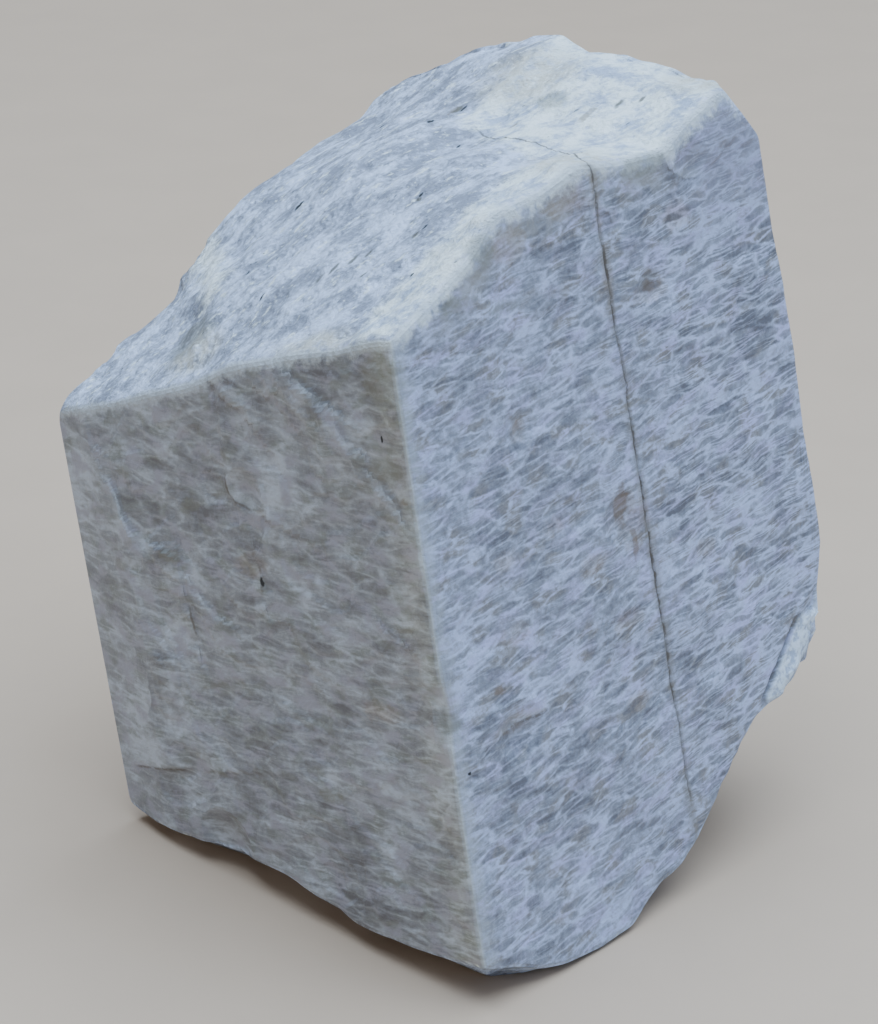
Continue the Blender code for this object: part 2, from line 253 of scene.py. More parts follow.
DARK_PATCHES_ON_LEFT = (
    (55.0, 55.3, 1.9, 1.5), (42.2, 57.1, 2.1, 1.0), (37.6, 56.7, 2.7, 0.8), (48.2, 49.5, 2.3, 1.1),
    (32.7, 49.7, 1.9, 1.3), (23.5, 51.3, 1.5, 0.7), (24.0, 49.7, 0.9, 0.7), (38.9, 43.7, 2.4, 1.0),
    (53.0, 34.1, 3.6, 0.8), (17.6, 12.8, 2.6, 0.9), (6.8, 73.4, 6.0, 2.2), (14.6, 71.8, 1.5, 1.1),
    (34.4, 70.2, 3.6, 1.5), (23.8, 71.6, 1.6, 1.4), (11.0, 77.2, 9.0, 2.6), (59.0, 14.6, 5.0, 2.0),
)
DARK_PATCHES_ON_RIGHT = (
    (17.6, 86.0, 2.4, 3.4), (65.0, 65.8, 4.0, 3.0),
)
OLIVE_PATCHES_ON_LEFT = (
    (59.2, 47.0, 1.8, 1.0), (55.1, 60.4, 2.0, 1.0), (48.2, 49.5, 2.3, 1.1), (23.6, 19.6, 2.6, 1.2),
    (0.4, 32.7, 2.0, 1.8), (4.1, 65.1, 3.4, 2.0), (42.2, 57.1, 2.1, 1.0), (3.0, 77.0, 3.4, 3.4),
)
OLIVE_PATCHES_ON_RIGHT = (
    (17.0, 88.4, 2.4, 2.4), (19.6, 80.7, 3.6, 1.0), (10.7, 83.0, 2.4, 1.2), (48.0, 92.0, 5.0, 1.6),
)
# The first patch on the top darkens the shelf's riser: painted shade.
OLIVE_PATCHES_ON_TOP = (((46.0, 8.0, 77.0), (6.0, 4.0, 4.0)), ((22.0, 56.0, 99.0), (2.6, 2.0, 4.0)),)
BROWN_TINTS_ON_LEFT = (
    (32.0, 50.0, 3.0, 2.0), (12.0, 33.0, 4.0, 1.6),
)
BROWN_TINTS_ON_RIGHT = (
    (37.0, 48.0, 3.6, 4.5), (29.0, 44.4, 3.2, 1.6), (34.6, 35.2, 3.2, 1.6), (14.0, 40.2, 2.8, 1.6),
    (23.3, 51.4, 2.4, 1.3), (50.8, 40.0, 2.6, 1.4), (13.7, 49.8, 2.4, 1.4), (34.5, 23.9, 2.8, 1.4),
    (46.6, 76.0, 3.6, 1.8), (38.6, 80.0, 1.1, 4.5), (19.3, 65.0, 1.6, 1.8), (53.0, 84.5, 3.2, 2.2),
    (33.0, 91.0, 5.0, 2.4), (12.0, 28.8, 4.6, 1.5), (22.0, 88.0, 3.4, 2.6), (38.4, 90.0, 1.0, 5.0),
)
PATCH_DEPTH_LEFT = 3.0
PATCH_DEPTH_RIGHT = 2.0
CREAM_PATCHES = (
    ((14.0, 1.0, 80.0), (8.0, 3.0, 3.6)), ((3.0, 39.0, 94.6), (8.0, 5.0, 3.0)), ((6.0, 68.0, 98.6), (6.0, 5.0, 3.0)),
    ((42.0, 5.0, 76.0), (5.0, 3.0, 4.0)), ((30.0, 60.0, 102.0), (7.0, 7.0, 5.0)),
)

FLAKE_LINE = ((15.3, 59.6), (17.8, 61.8), (20.5, 64.5), (23.8, 67.6), (25.6, 68.8))
FLAKE_SPAN = (13.6, 24.8)
FLAKE_SLANT = 0.7
FLAKE_FADE = 1.2
FLAKE_RISE = 0.7
FLAKE_LUMP_WAVE = 1.9
FLAKE_DEPTH = 6.0
FLAKE_SWELL = (-0.7, 2.6, -0.4)
FLAKE_GROOVE = 0.6
FLAKE_BORDER = (-0.3, 0.8)
EDGE_SOFTENING = (
    ("front", 3, 8), ("top right", 4, 8), ("top left", 3, 6), ("top back left", 3, 3), ("top back right", 3, 3),
    ("far left", 2, 2), ("far right", 2, 2), ("back", 2, 3), ("under right", 2, 3), ("under left", 2, 3))
NICK_SEED = 7
NICK_COUNT = 70
NICK_RADIUS = (1.0, 3.0)
NICK_BITE = (0.08, 0.3)


def block_axes():
    """Unit directions of a, b and h in the room, all square to each other."""
    lean_left = math.tan(math.radians(EDGE_LEAN_LEFT_DEG))
    lean_back = math.tan(math.radians(EDGE_LEAN_BACK_DEG))
    up_edge = Vector((-lean_left, lean_back, 1.0)).normalized()
    turn = math.radians(RIGHT_FACE_TURN_DEG)
    flat = Vector((math.cos(turn), math.sin(turn), 0.0))
    along_right = (flat - up_edge * flat.dot(up_edge)).normalized()
    along_left = up_edge.cross(along_right)
    return along_left, along_right, up_edge


def outline(points, x):
    """Height of an outline at x."""
    table = np.array(points, dtype=float)
    return np.interp(x, table[:, 0], table[:, 1])


def ramp(x):
    """Smooth step from 0 to 1 as x goes from 0 to 1."""
    t = np.clip(x, 0.0, 1.0)
    return t * t * (3.0 - 2.0 * t)


def between_outlines(front_left, front_right, back_left, back_right, a, b):
    """Surface hung between four outlines that meet at the corners."""
    u = a / LEFT_FACE_WIDTH
    v = b / RIGHT_FACE_WIDTH
    along_a = (1.0 - v) * outline(front_left, a) + v * outline(back_right, a)
    along_b = (1.0 - u) * outline(front_right, b) + u * outline(back_left, b)
    corner_front = (1.0 - u) * (1.0 - v) * front_left[0][1]
    corner_left = u * (1.0 - v) * front_left[-1][1]
    corner_right = (1.0 - u) * v * front_right[-1][1]
    corner_back = u * v * back_left[-1][1]
    return along_a + along_b - corner_front - corner_left - corner_right - corner_back


def past_riser(a, b):
    """Distance towards the left end from the foot of the shelf's riser."""
    start = np.array(SHELF_RISER_START)
    run = np.array(SHELF_RISER_END) - start
    return ((a - start[0]) * run[1] - (b - start[1]) * run[0]) / np.hypot(run[0], run[1])


def shelf(a, b):
    """Depth of the low shelf left of the riser."""
    outward = past_riser(a, b)
    width = SHELF_RISER_WIDTH + SHELF_RISER_SPREAD * ramp(b / SHELF_DROP_REACH)
    grown = ramp((outward + 0.5 * width) / width)
    hollow = SHELF_HOLLOW * np.exp(-((outward - 4.0) / SHELF_HOLLOW_REACH) ** 2)
    drop = SHELF_DROP_FRONT + (SHELF_DROP_BACK - SHELF_DROP_FRONT) * ramp(b / SHELF_DROP_REACH)
    return grown * (drop + hollow * ramp(b / SHELF_DROP_REACH))


def top_height(a, b):
    """Height up the edge of the broken top."""
    hung = between_outlines(TOP_OF_LEFT_FACE, TOP_OF_RIGHT_FACE, TOP_OF_BACK_LEFT, TOP_OF_BACK_RIGHT, a, b)
    even = outline(TOP_INSIDE_RIGHT_FACE, b) - outline(TOP_OF_RIGHT_FACE, b)
    return hung + ramp(a / TOP_INSIDE_REACH) * (1.0 - a / LEFT_FACE_WIDTH) * even - shelf(a, b)


def underside_height(a, b, axes):
    """Height up the edge of the broken underside."""
    lift = between_outlines(UNDER_LEFT_FACE, UNDER_RIGHT_FACE, UNDER_BACK_LEFT, UNDER_BACK_RIGHT, a, b)
    inset = np.minimum(np.minimum(a, LEFT_FACE_WIDTH - a), np.minimum(b, RIGHT_FACE_WIDTH - b))
    lift = lift - UNDERSIDE_BULGE * ramp(inset / UNDERSIDE_BULGE_REACH)
    along_left, along_right, up_edge = axes
    return (lift - FRONT_CORNER_LIFT - along_left.z * a - along_right.z * b) / up_edge.z


def crack_at(h):
    """Distance of the crack along the right face at height h."""
    return outline(CRACK_LINE, h)


def layered_noise(points, wave, octaves):
    """Smooth seeded noise between about -1 and 1 at each point."""
    values = np.zeros(len(points))
    for i, p in enumerate(points):
        total = 0.0
        weight = 1.0
        at = Vector(p) / wave
        for _ in range(octaves):
            total += weight * noise.noise(at)
            at = at * OCTAVE_STEP + Vector(OCTAVE_SHIFT)
            weight *= 0.5
        values[i] = total
    return values


def plates(points, wave, drop):
    """Flat cleavage plates at slightly different levels, with short steep steps between them."""
    level = (layered_noise(points, wave, 2) * 0.5 + 0.5) * PLATE_LEVELS
    whole = np.floor(level)
    step = ramp((level - whole - PLATE_STEP_START) / PLATE_STEP_RUN)
    return drop * (whole + step)


def surface_lattice(cells_a, cells_b, cells_h):
    """Closed box from 0 to 1 with its surface divided evenly."""
    bm = bmesh.new()
    bmesh.ops.create_cube(bm, size=1.0, matrix=Matrix.Translation((0.5, 0.5, 0.5)))
    for axis, cells in enumerate((cells_a, cells_b, cells_h)):
        edges = [e for e in bm.edges if abs((e.verts[0].co - e.verts[1].co)[axis]) > 0.5]
        bmesh.ops.subdivide_edges(bm, edges=edges, cuts=cells - 1, use_grid_fill=True)
    return bm


def divisions_along_b(cells):
    """Even divisions along b, with three of them gathered at the crack."""
    lines = np.linspace(0.0, RIGHT_FACE_WIDTH, cells + 1)
    middle = float(crack_at(CRACK_MIDDLE_HEIGHT))
    nearest = int(np.argmin(np.abs(lines - middle)))
    lines[nearest - 1] = middle - CRACK_HALF_WIDTH
    lines[nearest] = middle
    lines[nearest + 1] = middle + CRACK_HALF_WIDTH
    return lines


def follow_crack(b, h):
    """Shift lines near the crack sideways so that they run along it."""
    middle = float(crack_at(CRACK_MIDDLE_HEIGHT))
    pull = np.clip(1.0 - np.abs(b - middle) / CRACK_PULL_REACH, 0.0, 1.0)
    pull = np.where(np.abs(b - middle) <= CRACK_HALF_WIDTH * 1.01, 1.0, pull)
    return b + pull * (crack_at(h) - middle)


def flat_break(p, plane, removed):
    """Lay everything on the removed side of a plane down onto it."""
    p0, p1, p2 = (np.array(q, dtype=float) for q in plane)
    normal = np.cross(p1 - p0, p2 - p0)
    normal /= np.linalg.norm(normal)
    if np.dot(np.array(removed) - p0, normal) < 0.0:
        normal = -normal
    beyond = np.maximum((p - p0) @ normal, 0.0)
    return p - beyond[:, None] * normal


def chip(p, centre, radius):
    """Push everything inside a ball out to its skin, leaving a shell-shaped hollow."""
    offset = p - np.array(centre, dtype=float)
    distance = np.linalg.norm(offset, axis=1)
    inside = distance < radius
    scale = np.where(inside, radius / np.maximum(distance, 1e-6), 1.0)
    return np.array(centre) + offset * scale[:, None]


def stepped(height, across, steps):
    """Total drop of slanting cleavage steps at each point."""
    drop = np.zeros(len(height))
    for start, slant, depth in steps:
        drop += depth * ramp((height - start - slant * across) / STEP_RUN)
    return drop


def edge_nicks(p, rims):
    """Small shell-shaped nicks along the block's edges: each rim is its points and the way out from it."""
    chance = np.random.default_rng(NICK_SEED)
    for _ in range(NICK_COUNT):
        points, out = rims[chance.integers(len(rims))]
        spot = points[chance.integers(len(points))]
        radius = chance.uniform(*NICK_RADIUS)
        bite = chance.uniform(*NICK_BITE)
        swing = chance.normal(0.0, 0.15, 3)
        way = np.array(out) / np.linalg.norm(out) + swing
        way /= np.linalg.norm(way)
        p = chip(p, spot + way * (radius - bite), radius)
    return p


def along_splinters(p, stretch):
    """Points turned to the run of the splinters and squeezed along it."""
    turn = math.radians(SPLINTER_TURN_DEG)
    across = p[:, 0] * math.cos(turn) + p[:, 1] * math.sin(turn)
    along = p[:, 1] * math.cos(turn) - p[:, 0] * math.sin(turn)
    return np.stack((across, along / stretch, p[:, 2]), axis=1)


def top_relief(p):
    """Uneven height of the broken top: waves, long splinters and low plates, calm at the two front borders."""
    inset = np.minimum(p[:, 0], p[:, 1])
    along = along_splinters(p, STREAK_STRETCH)
    splinter = along_splinters(p, SPLINTER_STRETCH)
    waves = 0.6 * layered_noise(p, BREAK_WAVE, BREAK_OCTAVES) + 0.7 * layered_noise(along, BREAK_WAVE * 0.55, 2)
    fine = SPLINTER_RELIEF * layered_noise(splinter, SPLINTER_WAVE, 3) + GRIT_RELIEF * layered_noise(
        p, GRIT_WAVE, 2)
    fine = fine + plates(splinter, TOP_PLATE_WAVE, TOP_PLATE_DROP) - 2.0 * TOP_PLATE_DROP
    rugged = RISER_ROUGHNESS * near(past_riser(p[:, 0], p[:, 1]), 0.0, RISER_REACH)
    lumps = layered_noise(p, RISER_WAVE, 3)
    return ramp(inset / BORDER_CALM) * (BREAK_RELIEF * waves + rugged * lumps) + ramp(inset / RIM_CALM) * fine


def underside_relief(p):
    """Uneven depth of the broken underside."""
    inset = np.minimum(p[:, 0], p[:, 1])
    rough = BREAK_RELIEF * layered_noise(p, BREAK_WAVE, BREAK_OCTAVES)
    splinter = along_splinters(p, SPLINTER_STRETCH)
    return ramp(inset / BORDER_CALM) * (rough + 2.0 * SPLINTER_RELIEF * layered_noise(splinter, SPLINTER_WAVE, 3))


def ledge(along, h, line):
    """Distance in from a ledge's lip, on its proud side above 0, and how far from its two ends a point is."""
    nearest = np.full(len(h), np.inf)
    side = np.zeros(len(h))
    points = np.array(line)
    for start, end in zip(points[:-1], points[1:]):
        run = end - start
        part = ((along - start[0]) * run[0] + (h - start[1]) * run[1]) / run.dot(run)
        part = np.clip(part, 0.0, 1.0)
        distance = np.hypot(along - start[0] - part * run[0], h - start[1] - part * run[1])
        left_of = np.sign(run[0] * (h - start[1]) - run[1] * (along - start[0]))
        closer = distance < nearest
        side = np.where(closer, left_of, side)
        nearest = np.where(closer, distance, nearest)
    from_ends = np.minimum(
        np.hypot(along - points[0, 0], h - points[0, 1]), np.hypot(along - points[-1, 0], h - points[-1, 1]))
    span = np.hypot(*(points[-1] - points[0]))
    return side * nearest, ramp(from_ends / (LEDGE_FADE * span))


def ledges_on(face, along, h, jitter, table):
    """All ledges of one table on one face: total height, distance in from the nearest lip, and nearness to it."""
    height = np.zeros(len(h))
    off = np.full(len(h), LEDGE_REACH)
    closest = np.zeros(len(h))
    for rise, reach, line in table:
        inward, grown = ledge(along, h, line)
        ragged = inward + jitter
        slope = ramp(0.5 + ragged / LEDGE_WIDTH) * np.exp(-np.maximum(ragged, 0.0) / reach)
        height += face * rise * grown * slope
        beside = ramp(LEDGE_MARK_REACH - np.abs(inward) / LEDGE_REACH)
        here = face * grown * beside * min(1.0, rise / LEDGE_FULL_RISE)
        off = np.where(here > closest, np.clip(inward, -LEDGE_REACH, LEDGE_REACH), off)
        closest = np.maximum(closest, here)
    return height, off, closest


def on_faces(left, right, top=()):
    """One table of patches, each with its centre and half size along a, b and h."""
    table = [((a, 0.0, h), (half_a, PATCH_DEPTH_LEFT, half_h)) for a, h, half_a, half_h in left]
    table += [((0.0, b, h), (PATCH_DEPTH_RIGHT, half_b, half_h)) for b, h, half_b, half_h in right]
    return table + list(top)


def patches(a, b, h, table):
    """How far inside any of a table's patches each point lies, from 0 to 1."""
    inside = np.zeros(len(a))
    for centre, size in table:
        offset = (np.stack((a, b, h), axis=1) - np.array(centre)) / np.array(size)
        inside = np.maximum(inside, ramp((1.5 - np.linalg.norm(offset, axis=1)) / 1.0))
    return inside


def flake_at(b, h):
    """How far a point of the right face lies inside the loose flake, and where its inner border is."""
    inward = (b - outline(FLAKE_LINE, h)) * FLAKE_SLANT
    low, high = FLAKE_SPAN
    within = ramp((h - low) / FLAKE_FADE) * ramp(high - h)
    return inward, within


def swell_flake(p):
    """Push the flake out past the border in lumps."""
    inward, within = flake_at(p[:, 1], p[:, 2])
    lumps = ramp(0.5 + 0.9 * layered_noise(p, FLAKE_LUMP_WAVE, 2))
    push = within * ramp(inward / 1.5) * ramp(1.0 - (p[:, 0] + 1.0) / FLAKE_DEPTH) * (0.3 + 0.7 * lumps)
    return p + push[:, None] * np.array(FLAKE_SWELL)


def shape_block(bm, axes):
    """Carry the lattice onto the block, add its relief, and return where each vertex lies."""
    lattice = np.array([v.co[:] for v in bm.verts])
    ia = np.rint(lattice[:, 0] * CELLS_A).astype(int)
    ib = np.rint(lattice[:, 1] * CELLS_B).astype(int)
    ih = np.rint(lattice[:, 2] * CELLS_H).astype(int)
    a = np.linspace(0.0, LEFT_FACE_WIDTH, CELLS_A + 1)[ia]
    b = divisions_along_b(CELLS_B)[ib]
    low = underside_height(a, b, axes)
    low = low - underside_relief(np.stack((a, b, low), axis=1))
    high = top_height(a, b)
    high = high + top_relief(np.stack((a, b, high), axis=1))
    h = low + (high - low) * ih / CELLS_H
    b = follow_crack(b, h)
    b = b + outline(RIGHT_BORDER, h) * (b / RIGHT_FACE_WIDTH) ** 6

    on_right = ia == 0
    on_left = ib == 0
    on_back_left = ia == CELLS_A
    on_back_right = ib == CELLS_B
    on_top = ih == CELLS_H
    on_under = ih == 0

    p = np.stack((a, b, h), axis=1)
    smooth = CLEAVAGE_RELIEF * layered_noise(p, CLEAVAGE_WAVE, 2)
    rough = BREAK_RELIEF * layered_noise(p, BREAK_WAVE, BREAK_OCTAVES)
    plate = plates(p / np.array((1.0, PLATE_STRETCH_B, 1.0)), PLATE_WAVE, PLATE_DROP)
    grit = GRIT_RELIEF * layered_noise(p, GRIT_WAVE, 2)
    groove = CRACK_GROOVE * (np.abs(b - crack_at(h)) < CRACK_GROOVE_SHARE * CRACK_HALF_WIDTH)
    groove = groove * ramp((h - CRACK_END_HEIGHT) / CRACK_FADE)
    inward, within = flake_at(b, h)
    lumps = 1.0 + 0.8 * layered_noise(p, FLAKE_LUMP_WAVE, 1)
    groove = groove - within * ramp(inward) * FLAKE_RISE * lumps
    groove = groove + within * FLAKE_GROOVE * near(inward, *FLAKE_BORDER)

    jitter = LEDGE_RAGGED * layered_noise(p, LEDGE_WAVE, 2)
    left_lit, lit_off, lit_near = ledges_on(on_left, a, h, jitter, LEFT_LIT_LEDGES)
    left_shaded, left_off, left_near = ledges_on(on_left, a, h, jitter, LEFT_SHADED_LEDGES)
    right_shaded, right_off, right_near = ledges_on(on_right, b, h, jitter, RIGHT_SHADED_LEDGES)
    p[:, 0] -= on_right * (smooth + grit - plate + 2.0 * PLATE_DROP - groove) + right_shaded
    p[:, 1] -= on_left * (smooth + grit - plate + 2.0 * PLATE_DROP) + left_lit + left_shaded
    rough_side = 0.5 * rough + 2.0 * grit - 2.0 * plate + 4.0 * PLATE_DROP
    p[:, 0] += on_back_left * ramp(b / STEP_BORDER) * (rough_side - stepped(h, b, BACK_LEFT_STEPS))
    p[:, 1] += on_back_right * ramp(a / STEP_BORDER) * (rough_side - stepped(h, a, BACK_RIGHT_STEPS))

    for p0, p1, p2, removed in FLAT_BREAKS:
        p = flat_break(p, (p0, p1, p2), removed)
    for centre, radius in CHIPS:
        p = chip(p, centre, radius)
    p = swell_flake(p)
    rims = (
        (p[on_right & on_left], (-1.0, -1.0, 0.0)),
        (p[on_top & on_left], (0.0, -1.0, 1.0)),
        (p[on_top & on_right], (-1.0, 0.0, 1.0)),
        (p[on_top & on_back_left], (1.0, 0.0, 1.0)),
        (p[on_top & on_back_right], (0.0, 1.0, 1.0)),
        (p[on_under & on_left], (0.0, -1.0, -1.0)),
        (p[on_under & on_right], (-1.0, 0.0, -1.0)),
        (p[on_back_left & on_back_right], (1.0, 1.0, 0.0)),
    )
    p = edge_nicks(p, rims)

    along_left, along_right, up_edge = axes
    directions = np.array((along_left[:], along_right[:], up_edge[:]))
    room = p @ directions + np.array((0.0, 0.0, FRONT_CORNER_LIFT))
    for v, co in zip(bm.verts, room * MM):
        v.co = co
    return {
        "left_face": on_left, "right_face": on_right, "top_break": on_top, "underside": on_under,
        "a": p[:, 0], "b": p[:, 1], "h": p[:, 2], "rows_from_edges": rows_from_edges(ia, ib, ih),
        "lit_off": lit_off, "lit_near": lit_near,
        "shaded_off": np.where(on_right, right_off, left_off), "shaded_near": np.maximum(left_near, right_near)}


def rows_from_edges(ia, ib, ih):
    """For each worn edge, how many rows a vertex lies from it along the surface."""
    from_top = CELLS_H - ih
    far_a = CELLS_A - ia
    far_b = CELLS_B - ib
    return {
        "front": ia + ib + 99 * (np.minimum(from_top, ih) == 0),
        "top right": ia + from_top,
        "top left": ib + from_top,
        "top back left": far_a + from_top,
        "top back right": far_b + from_top,
        "far left": far_a + ib,
        "far right": far_b + ia,
        "back": far_a + far_b,
        "under right": ia + ih,
        "under left": ib + ih}


def soften_edges(bm, rows):
    """Round the worn edges by smoothing the rows of vertices beside them."""
    verts = list(bm.verts)
    for name, reach, passes in EDGE_SOFTENING:
        beside = [verts[i] for i in np.flatnonzero(rows[name] <= reach)]
        for _ in range(passes):
            bmesh.ops.smooth_vert(
                bm, verts=beside, factor=0.5, use_axis_x=True, use_axis_y=True, use_axis_z=True)


def cut_foot(bm):
    """Cut the underside off level at Z 0 and close the flat foot."""
    everything = bm.verts[:] + bm.edges[:] + bm.faces[:]
    bmesh.ops.bisect_plane(
        bm, geom=everything, dist=1e-7, plane_co=(0.0, 0.0, 0.0), plane_no=(0.0, 0.0, 1.0), clear_inner=True)
    rim = [e for e in bm.edges if e.is_boundary]
    bmesh.ops.holes_fill(bm, edges=rim, sides=0)
    bmesh.ops.remove_doubles(bm, verts=bm.verts[:], dist=WELD_DISTANCE)


def centre_in_box(bm, low, high):
    """Put the stone's plan in the middle of the CAD solid's plan, and return the shift."""
    xs = [v.co.x for v in bm.verts]
    ys = [v.co.y for v in bm.verts]
    middle_x = (low[0] + high[0]) / 2.0
    middle_y = (low[1] + high[1]) / 2.0
    shift = Vector((middle_x - (min(xs) + max(xs)) / 2.0, middle_y - (min(ys) + max(ys)) / 2.0, 0.0))
    bmesh.ops.translate(bm, verts=bm.verts[:], vec=shift)
    return shift


# Zones of the stone, worked out at each vertex for the finish to read.
# First the size of slow changes of tone, as wavelengths.

HAZE_WAVE = 15.0
MOTTLE_WAVE = 4.2
HUE_WAVE = (3.4, 4.6, 2.2)
BROAD_WAVE = 4.0

# Reach of the worn edges and of the freshly broken zones
FRONT_EDGE_WEAR_LEFT = 3.0
FRONT_EDGE_WEAR_RIGHT = 5.0
TOP_RIM_WEAR = 3.0
TOP_RIM_WEAR_INWARD = 1.4
SHOULDER_START = 5.0
SHOULDER_RUN = 8.0
CAP_END_A = 36.0
CAP_START_B = 34.0
CAP_SLANT = 0.35
CAP_FADE = 5.0
CAP_SHARE = 0.75
LOBE_RIM_BAND = (-4.0, 6.0)
LOBE_RIM_START_A = 40.0
LOBE_RIM_FADE = 10.0
LOBE_RIM_SHARE = 0.6
SPILL_REACH = 5.0
SPILL_SHARE = 0.75
CORNER_START_B = 60.0
CORNER_START_H = 90.0
CORNER_SHARE = 0.5
RIM_STAIN_BAND = (3.0, 4.5)
RIM_STAIN_SPAN_B = (4.0, 58.0)


def near(value, edge, reach):
    """1 at an edge, falling to 0 at its reach."""
    return ramp(1.0 - np.abs(value - edge) / reach)


def slow_noise(points, wave, octaves):
    """Smooth seeded noise between about 0 and 1 at each point."""
    return 0.5 + 0.5 * layered_noise(points, wave, octaves)


def zone_masks(where):
    """Masks from 0 to 1: which face a vertex is on, how worn its edge is and how freshly broken it is."""
    a, b, h = where["a"], where["b"], where["h"]
    left = where["left_face"]
    right = where["right_face"]
    top = where["top_break"]
    under = where["underside"]
    top_here = top_height(np.clip(a, 0.0, LEFT_FACE_WIDTH), np.clip(b, 0.0, RIGHT_FACE_WIDTH))
    below_top = np.maximum(top_here - h, 0.0)
    inset = np.minimum(a, b)
    front_edge = np.where(left, near(a, 0.0, FRONT_EDGE_WEAR_LEFT), 0.0)
    front_edge = np.maximum(front_edge, np.where(right, near(b, 0.0, FRONT_EDGE_WEAR_RIGHT), 0.0))
    top_rim = np.where(left | right, near(below_top, 0.0, TOP_RIM_WEAR), 0.0)
    top_rim = np.maximum(top_rim, np.where(top, near(inset, 0.0, TOP_RIM_WEAR_INWARD), 0.0))
    past_rim = np.where(top, inset, -below_top)
    shoulder = top * ramp(1.0 - (a - SHOULDER_START) / SHOULDER_RUN) * ramp((b + 1.0) / 4.0)
    cap = top * ramp((CAP_END_A - a) / CAP_FADE) * ramp((b - CAP_START_B - CAP_SLANT * a) / CAP_FADE)
    lobe_rim = top * near(past_riser(a, b), *LOBE_RIM_BAND) * ramp((a - LOBE_RIM_START_A) / LOBE_RIM_FADE)
    spill = right * ramp(1.0 - below_top / SPILL_REACH)
    corner = right * ramp((b - CORNER_START_B) / 8.0) * ramp((h - CORNER_START_H) / 6.0)
    inward, within = flake_at(b, h)
    p = np.stack((a, b, h), axis=1)
    streaky = p / np.array(HUE_WAVE)
    stain_start, stain_end = RIM_STAIN_SPAN_B
    return {
        "haze": slow_noise(p, HAZE_WAVE, 2),
        "mottle": slow_noise(p + 31.0, MOTTLE_WAVE, 3),
        "olive": slow_noise(streaky + 5.0, 1.0, 3),
        "lavender": slow_noise(streaky + 17.0, 1.0, 3),
        "broad": slow_noise(along_splinters(p, 1.7) + 11.0, BROAD_WAVE, 3),
        "cream": patches(a, b, h, CREAM_PATCHES),
        "left_face": left, "right_face": right, "underside": under,
        "top_break": np.clip(0.5 + past_rim / RIM_BAND, 0.0, 1.0),
        "front_edge": front_edge, "top_rim": top_rim,
        "pale_break": np.maximum.reduce([
            shoulder, CAP_SHARE * cap, LOBE_RIM_SHARE * lobe_rim, CORNER_SHARE * corner, SPILL_SHARE * spill]),
        "flake": right * within * ramp(inward / 0.5),
        "flake_border": right * within * near(inward, *FLAKE_BORDER),
        "lit_off": where["lit_off"], "lit_near": where["lit_near"],
        "shaded_off": where["shaded_off"], "shaded_near": where["shaded_near"],
        "olive_patch": patches(
            a, b, h, on_faces(OLIVE_PATCHES_ON_LEFT, OLIVE_PATCHES_ON_RIGHT, OLIVE_PATCHES_ON_TOP)),
        "pale_patch": patches(
            a, b, h, on_faces(PALE_PATCHES_ON_LEFT, PALE_PATCHES_ON_RIGHT, PALE_PATCHES_ON_TOP)),
        "dark_patch": patches(a, b, h, on_faces(DARK_PATCHES_ON_LEFT, DARK_PATCHES_ON_RIGHT)),
        "brown": patches(a, b, h, on_faces(BROWN_TINTS_ON_LEFT, BROWN_TINTS_ON_RIGHT)),
        "rust": patches(a, b, h, RUSTY_SPOTS),
        "rim_stain": right * near(below_top, *RIM_STAIN_BAND) * ramp((stain_end - b) / 10.0) * ramp(
            (b - stain_start) / 8.0)}


def build_stone(axes):
    """The finished stone as one closed mesh, with its zones stored on its vertices."""
    bm = surface_lattice(CELLS_A, CELLS_B, CELLS_H)
    where = shape_block(bm, axes)
    soften_edges(bm, where["rows_from_edges"])
    masks = zone_masks(where)
    layers = {name: bm.verts.layers.float.new(name) for name in masks}
    for name, values in masks.items():
        layer = layers[name]
        for v, value in zip(bm.verts, values):
            v[layer] = float(value)
    cut_foot(bm)
    shift = centre_in_box(bm, *cad_box)
    bmesh.ops.triangulate(bm, faces=[f for f in bm.faces if len(f.verts) > 4])
    bmesh.ops.recalc_face_normals(bm, faces=bm.faces[:])
    mesh = bpy.data.meshes.new("crystal")
    bm.to_mesh(mesh)
    bm.free()
    stone = bpy.data.objects.new("crystal", mesh)
    bpy.context.scene.collection.objects.link(stone)
    return stone, shift


# Small helpers for building materials


def add(tree, kind, **settings):
    """A new node with its settings."""
    node = tree.nodes.new(kind)
    for name, value in settings.items():
        setattr(node, name, value)
    return node


def feed(tree, socket, value):
    """Link a socket to an output, or set it to a plain value."""
    if isinstance(value, bpy.types.NodeSocket):
        tree.links.new(value, socket)
    else:
        socket.default_value = value


def maths(tree, operation, first, second=0.0, third=0.0):
    """One maths step on two or three values."""
    node = add(tree, "ShaderNodeMath", operation=operation)
    for socket, value in zip(node.inputs, (first, second, third)):
        feed(tree, socket, value)
    return node.outputs["Value"]


def highest(tree, *values):
    """The highest of several values."""
    result = values[0]
    for value in values[1:]:
        result = maths(tree, "MAXIMUM", result, value)
    return result


def product(tree, *values):
    """Several values multiplied together."""
    result = values[0]
    for value in values[1:]:
        result = maths(tree, "MULTIPLY", result, value)
    return result


def weighted(tree, start, *parts):
    """A value with others added to it, each times its weight."""
    result = start
    for value, weight in parts:
        result = maths(tree, "MULTIPLY_ADD", value, weight, result)
    return result


def centred(tree, value):
    """A value from 0 to 1 moved so that its middle is 0."""
    return maths(tree, "SUBTRACT", value, 0.5)


def vector_maths(tree, operation, first, second):
    """One maths step on two vectors."""
    node = add(tree, "ShaderNodeVectorMath", operation=operation)
    feed(tree, node.inputs[0], first)
    feed(tree, node.inputs[1], second)
    return node.outputs["Value" if operation == "LENGTH" else "Vector"]


def soft_step(tree, value, low, high, start=0.0, end=1.0):
    """Smooth step from start to end as a value goes from low to high."""
    node = add(tree, "ShaderNodeMapRange", interpolation_type="SMOOTHSTEP")
    for name, setting in (
            ("Value", value), ("From Min", low), ("From Max", high), ("To Min", start), ("To Max", end)):
        feed(tree, node.inputs[name], setting)
    return node.outputs["Result"]


